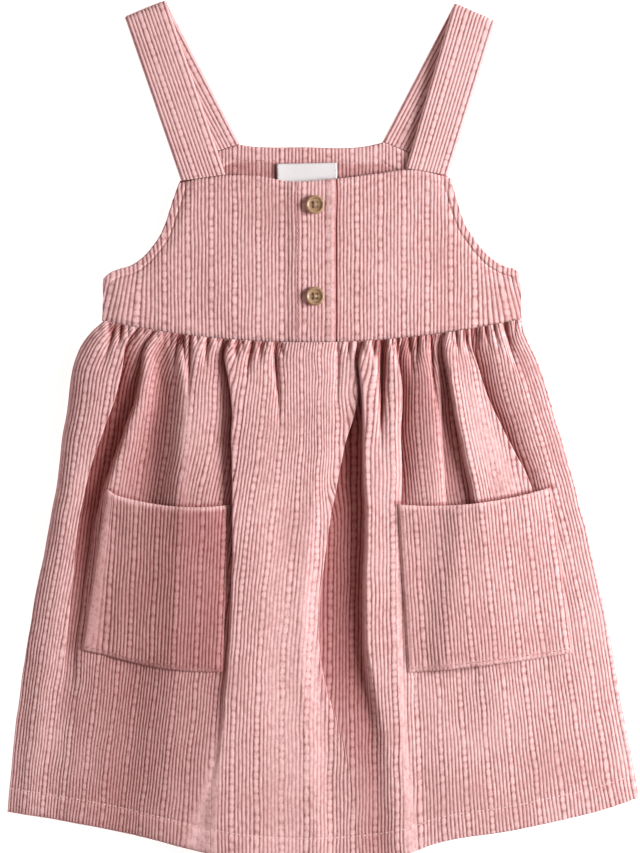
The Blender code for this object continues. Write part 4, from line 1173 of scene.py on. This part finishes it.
def make_strap(name, material):
    """A doubled strap with wales along it on both faces."""
    edges, normal = strap_path(STRAPS[name])
    start, end = edges[:, 0], edges[:, 1]
    if name == "strap_right":
        start, end = end, start
    rows = len(start)
    across = span(STRAP_COLUMNS)
    middle = blend(start[:, None], end[:, None], across[None, :, None])
    along = distance_along(middle[:, STRAP_COLUMNS // 2])[:, None]
    column = np.arange(STRAP_COLUMNS)[None, :] + 6
    pile, bead = pile_and_bead(column, along)
    from_edge = (1.0 - np.abs(2.0 * across - 1.0)) * (STRAP_COLUMNS - 1) / 2.0
    rounded = np.sqrt(np.clip(1.0 - (1.0 - np.minimum(from_edge / 3.0, 1.0)) ** 2, 0.04, 1.0))
    body = (STRAP_HALF + 0.25 * np.sin(math.pi * across) + pile * PILE) * rounded
    body = body + 0.10 * waves(middle[..., 0], middle[..., 1], 22.0, 61) * rounded
    offset = normal[:, None] * body[..., None]

    def both(front, back):
        return np.concatenate((front, back[:, ::-1]), axis=1)

    loop = both(middle + offset, middle - offset)
    count = loop.shape[1]
    number = numbered(rows, count)
    quads = grid_quads(closed(number))
    caps = [number[0, ::-1], number[-1]]

    u, v = np.meshgrid(np.arange(count + 1) / (count + 1.0), np.linspace(0.0, 0.97, rows))
    bake = joined(stack(u, v))[grid_quads(numbered(rows, count + 1))]
    turn = np.linspace(0.0, 2.0 * math.pi, count, endpoint=False)
    disc = stack(0.25 + 0.1 * np.cos(turn), 0.985 + 0.01 * np.sin(turn))
    cloth = joined(stack(*np.broadcast_arrays(both(column, column) / COLUMNS, along / 10.0)))

    across_way = middle[-1, -1] - middle[-1, 0]
    along_way = middle[-1, 0] - middle[-2, 0]
    if np.cross(across_way, along_way)[2] < 0.0:
        quads, bake = quads[:, ::-1], bake[:, ::-1]
        caps = [cap[::-1] for cap in caps]
    piece = make_object(name + "_cloth", joined(loop),
                        quads.tolist() + [cap.tolist() for cap in caps], material,
                        cloth[np.concatenate((quads.ravel(), *caps))],
                        np.concatenate((joined(bake), disc, disc + (0.5, 0.0))),
                        [("pile", both(pile, pile)), ("bead", both(bead, bead))])
    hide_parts(name)


# ---------------------------------------------------------------- pockets
POCKET_WALL = 1.1
POCKET_ROWS = 73
MOUTH_HEM = 19.5           # from the mouth to the stitches of its hem
DRAPE_GRID = (41, 45)
DRAPE_ROUNDS = 220
POCKET_OFF = 0.15          # between the skirt's wales and the pocket's wall


def height_over(surface):
    """A function that gives the height of a grid's surface over plan points, mm."""
    quads = grid_quads(numbered(*surface.shape[:2]))
    tree = BVHTree.FromPolygons(surface.reshape(-1, 3).tolist(), quads.tolist())

    def height(x, y):
        hit = tree.ray_cast(Vector((x, y, 200.0)), Vector((0.0, 0.0, -1.0)))[0]
        return hit.z if hit else SKIRT_LEVEL

    return height


def pocket_plan(pocket, rows, columns):
    """Plan points of a patch pocket, rows up from its lower edge."""
    top_left, top_right, bottom_right, bottom_left = np.array(pocket.corners)
    across, up = span(columns)[None, :, None], span(rows)[:, None, None]
    plan = blend(blend(bottom_left, bottom_right, across), blend(top_left, top_right, across),
                 up)
    bow = 4.0 * across * (1.0 - across)
    plan[..., 1] -= (bow * blend(pocket.belly, pocket.dip, up))[..., 0]
    straighten = (1.0 - across) * smooth(6.0 * across)
    plan[..., 0] += (pocket.upright * (1.0 - 2.0 * up) * straighten)[..., 0]
    return plan


def draped(floor, rounds):
    """Cloth pulled tight over a grid of heights, held down on three sides."""
    level = floor.copy()
    for _ in range(rounds):
        padded = np.pad(level, 1, mode="edge")
        around = padded[:-2, 1:-1] + padded[2:, 1:-1] + padded[1:-1, :-2] + padded[1:-1, 2:]
        level = np.maximum(floor, around / 4.0)
        level[0], level[:, 0], level[:, -1] = floor[0], floor[:, 0], floor[:, -1]
    return level


def finer(grid, rows, columns):
    """A grid of numbers resampled to more rows and columns, smoothly."""
    for count in (columns, rows):
        at = np.linspace(0.0, grid.shape[1] - 1.0, count)
        grid = np.stack([curve(tuple(enumerate(line)), at) for line in grid], axis=-1)
    return grid


def make_pocket(name, skirt_height, material, thread):
    pocket = POCKETS[name]
    columns, rows = pocket.repeats * COLUMNS + 1, POCKET_ROWS
    floor = np.array([[skirt_height(*point) for point in line]
                      for line in pocket_plan(pocket, *DRAPE_GRID)])
    plan = pocket_plan(pocket, rows, columns)
    x, y = plan[..., 0], plan[..., 1]
    tall = np.linalg.norm(plan[-1, 0] - plan[0, 0])
    wide = np.linalg.norm(plan[0, -1] - plan[0, 0])
    across, up = span(columns)[None, :], span(rows)[:, None] * tall
    from_mouth = tall - up
    from_side = np.minimum(across, 1.0 - across) * wide
    z = finer(draped(floor, DRAPE_ROUNDS), rows, columns) + PILE + POCKET_OFF + POCKET_WALL
    ridge_x, height, left, right = pocket.ridge
    from_ridge = x - ridge_x - 0.10 * (y + 90.0)
    reach = np.where(from_ridge < 0.0, left, right)
    z = z + height * bell(from_ridge, reach) * rise(from_side, 0.0, 20.0)
    z = z + 0.25 * fall(from_mouth, MOUTH_HEM - 1.5, 2.0)
    z = z - 0.25 * bell(from_mouth - MOUTH_HEM, 1.0)
    z = z + 1.1 * fall(from_mouth, 0.0, 30.0) * rise(from_side, 0.0, 14.0)
    z = z + 0.45 * rise(from_side, 0.0, 5.0) * rise(up, 0.0, 5.0)
    z = z + 0.16 * waves(x, y, 20.0, 71) - 0.6 * fall(from_side, 0.0, 2.5)
    surface = stack(x, y, z)
    plain = np.maximum(0.45 * fall(from_mouth, 1.2, 1.4), 0.65 * fall(up, pocket.lip, 1.2))
    # A flat, pale strip of pile along the left side, partly painted light.
    plain = np.maximum(plain, 0.85 * fall(across * wide, pocket.strip, 5.0))
    # Painted shade across the pocket from left to right, and on its right edge.
    crease = np.maximum(blend(*pocket.deep, across) * rise(from_mouth, 1.5, 2.0),
                        0.8 * fall((1.0 - across) * wide, 0.0, 1.6))
    piece = cloth_piece(name + "_cloth", surface, np.arange(columns)[None, :] + 3, up + 40.0,
                        material, POCKET_WALL, plain=plain, crease=crease)
    group = ([], [])
    normals = grid_normals(surface)
    seat = surface + normals * 0.55 * PILE
    inner = slice(2, -2)
    for row in ((inner, 3), (inner, -4), (2, slice(4, -4))):
        add_stitches(group, seat[row], normals[row])
    for corner in (slice(4, 9), slice(-9, -4)):
        for row in (-4, -6):
            add_stitches(group, seat[row, corner], normals[row, corner], 0.9, 0.1, 0.3)
    stitches = make_object("stitches_" + name, *group, thread)
    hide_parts(name)


# ---------------------------------------------------------------- label and buttons
def make_label(material):
    """A blank woven label sewn in below the back neckline."""
    rows, columns = 18, 37
    across, up = np.meshgrid(np.linspace(-0.5, 0.5, columns) * LABEL_SIZE[0],
                             np.linspace(-0.5, 0.5, rows) * LABEL_SIZE[1])
    x = LABEL_CENTRE[0] + across * math.cos(LABEL_TILT) - up * math.sin(LABEL_TILT)
    y = LABEL_CENTRE[1] + across * math.sin(LABEL_TILT) + up * math.cos(LABEL_TILT)
    z = BACK_TOP + 2.0 * GAP + FACING_WALL + PILE + 0.9 + 0.12 * np.sin(across / 7.0)
    top = stack(x, y, z + 0.25 * (np.abs(across) / 18.0) ** 4)
    number = numbered(rows, columns)
    u_number = number + number.size
    faces = grid_quads(number).tolist() + grid_quads(u_number)[:, ::-1].tolist()
    faces += rim_faces(ring_of(number), ring_of(u_number))
    weave = joined(stack(across, up))
    piece = make_object("neck_label_cloth", joined(top, top - (0.0, 0.0, LABEL_WALL)), faces,
                        material, np.tile(weave, (2, 1))[np.concatenate(faces)])
    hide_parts("neck_label")


BUTTON_PROFILE = ((0.0, 0.0), (4.3, 0.0), (5.1, 0.35), (5.6, 0.95), (5.7, 1.5), (5.55, 2.1),
                  (5.15, 2.5), (4.7, 2.6), (4.25, 2.45), (3.9, 2.05), (3.5, 1.85), (2.6, 1.8),
                  (1.4, 1.85), (0.0, 1.9))
HOLE_PROFILE = ((0.0, -1.0), (HOLE_RADIUS, -1.0), (HOLE_RADIUS, 1.75),
                (HOLE_RADIUS + 0.25, 2.2), (HOLE_RADIUS + 0.3, 3.5), (0.0, 3.5))
BUTTON_SEGMENTS = 72
HOLE_SEGMENTS = 24


def lathe(name, profile, segments, centre, material):
    """A closed turned piece; the first and last profile points lie on its axis."""
    turn = np.linspace(0.0, 2.0 * math.pi, segments, endpoint=False)
    cx, cy, cz = centre
    points = [(cx, cy, cz + profile[0][1])]
    for radius, height in profile[1:-1]:
        points += [(cx + radius * math.cos(angle), cy + radius * math.sin(angle), cz + height)
                   for angle in turn]
    points.append((cx, cy, cz + profile[-1][1]))
    faces = []
    rings = len(profile) - 2
    for i in range(segments):
        j = (i + 1) % segments
        faces.append((0, 1 + j, 1 + i))
        for ring in range(rings - 1):
            a, b = 1 + ring * segments, 1 + (ring + 1) * segments
            faces.append((a + i, a + j, b + j, b + i))
        last = 1 + (rings - 1) * segments
        faces.append((last + i, last + j, len(points) - 1))
    return make_object(name, points, faces, material)


def make_button(name, wood, thread):
    low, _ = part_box(name)
    centre = (BUTTON_X, BUTTON_Y[name], low[2] / MM)
    button = lathe(name + "_turned", BUTTON_PROFILE, BUTTON_SEGMENTS, centre, wood)
    half = HOLE_SPACING / 2.0
    holes = [np.array((centre[0] + dx, centre[1] + dy))
             for dx, dy in ((half, half), (-half, half), (-half, -half), (half, -half))]
    cutters = [lathe("hole_cutter", HOLE_PROFILE, HOLE_SEGMENTS, (*hole, centre[2]), wood)
               for hole in holes]
    for cutter in cutters:
        cut = button.modifiers.new("hole", "BOOLEAN")
        cut.operation = "DIFFERENCE"
        cut.solver = "EXACT"
        cut.object = cutter
    depsgraph = bpy.context.evaluated_depsgraph_get()
    mesh = bpy.data.meshes.new_from_object(button.evaluated_get(depsgraph))
    button.modifiers.clear()
    button.data = mesh
    for cutter in cutters:
        bpy.data.objects.remove(cutter)
    mesh.set_sharp_from_angle(angle=math.radians(40.0))
    group = ([], [])
    up = np.tile((0.0, 0.0, 1.0), (STITCH_RINGS, 1))
    share = span(STITCH_RINGS)[:, None]
    for a, b, lift in ((0, 2, 0.0), (0, 2, 0.15), (1, 3, 0.25), (1, 3, 0.4)):
        z = centre[2] + 1.75 + lift + 0.35 * np.sin(math.pi * share)
        line = np.hstack((blend(holes[a], holes[b], share), z))
        add_stitches(group, line, up, np.linalg.norm(holes[b] - holes[a]), 0.0, 0.2)
    make_object(name + "_thread", *group, thread)
    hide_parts(name)


# ---------------------------------------------------------------- stage
CAMERA_X, CAMERA_Y = -2.1, 2.9
CAMERA_HEIGHT = 2000.0
FRAME_WIDTH = 384.0
SENSOR_WIDTH = 36.0
FLOOR_HALF, FLOOR_LEVEL = 6.0, -0.0005      # m


def make_floor():
    n = Nodes("floor_paper")
    mottle = n.noise(n.place(), (6.0, 6.0, 6.0), 3.0, 0.5)
    n.set(Base_Color=n.mix(mottle, (0.93, 0.93, 0.93), (0.95, 0.95, 0.95)), Roughness=0.9,
          Emission_Color=(1.0, 1.0, 1.0), Emission_Strength=0.75)
    mesh = bpy.data.meshes.new("floor")
    mesh.from_pydata([(FLOOR_HALF * x, FLOOR_HALF * y, FLOOR_LEVEL)
                      for x, y in ((-1, -1), (1, -1), (1, 1), (-1, 1))], [], [(0, 1, 2, 3)])
    mesh.materials.append(n.material)
    floor = add_object("floor", mesh)


def area_light(name, place, size, power):
    data = bpy.data.lights.new(name, "AREA")
    data.size = size
    data.energy = power
    light = add_object(name, data)
    light.location = place
    light.rotation_euler = (-Vector(place)).to_track_quat("-Z", "Y").to_euler()


def make_lights():
    area_light("key", (1.0, 0.12, 0.58), 0.55, 27.0)
    area_light("fill", (-1.0, -0.25, 0.30), 0.5, 1.5)
    world = bpy.data.worlds.new("studio")
    world.use_nodes = True
    background = world.node_tree.nodes["Background"]
    background.inputs["Color"].default_value = (1.0, 0.71, 0.67, 1.0)
    background.inputs["Strength"].default_value = 0.32
    bpy.context.scene.world = world
    bpy.context.scene.view_settings.view_transform = "Standard"


def make_camera():
    data = bpy.data.cameras.new("camera")
    data.sensor_fit = "HORIZONTAL"
    data.sensor_width = SENSOR_WIDTH
    data.lens = SENSOR_WIDTH * CAMERA_HEIGHT / FRAME_WIDTH
    data.clip_end = 20.0
    camera = add_object("camera", data)
    camera.location = (CAMERA_X * MM, CAMERA_Y * MM, CAMERA_HEIGHT * MM)
    bpy.context.scene.camera = camera


# ---------------------------------------------------------------- the dress
def main():
    make_camera()
    make_lights()
    make_floor()
    corduroy = corduroy_material()
    thread = thread_material("rose_thread", (0.50, 0.24, 0.23))
    pale_thread = thread_material("pale_thread", (0.88, 0.66, 0.64))
    cream = thread_material("cream_thread", (0.66, 0.55, 0.40))
    wood = button_material()

    surface = make_front_skirt(corduroy, pale_thread)
    for make in (make_back_skirt, make_back_bodice, make_back_facing, make_front_left,
                 make_front_right, make_placket):
        make(corduroy)
    make_bodice_stitches(thread)
    for name in STRAPS:
        make_strap(name, corduroy)
    skirt_height = height_over(surface[::4, ::3])
    for name in POCKETS:
        make_pocket(name, skirt_height, corduroy, thread)
    make_label(label_material())
    for name in BUTTON_Y:
        make_button(name, wood, cream)


main()
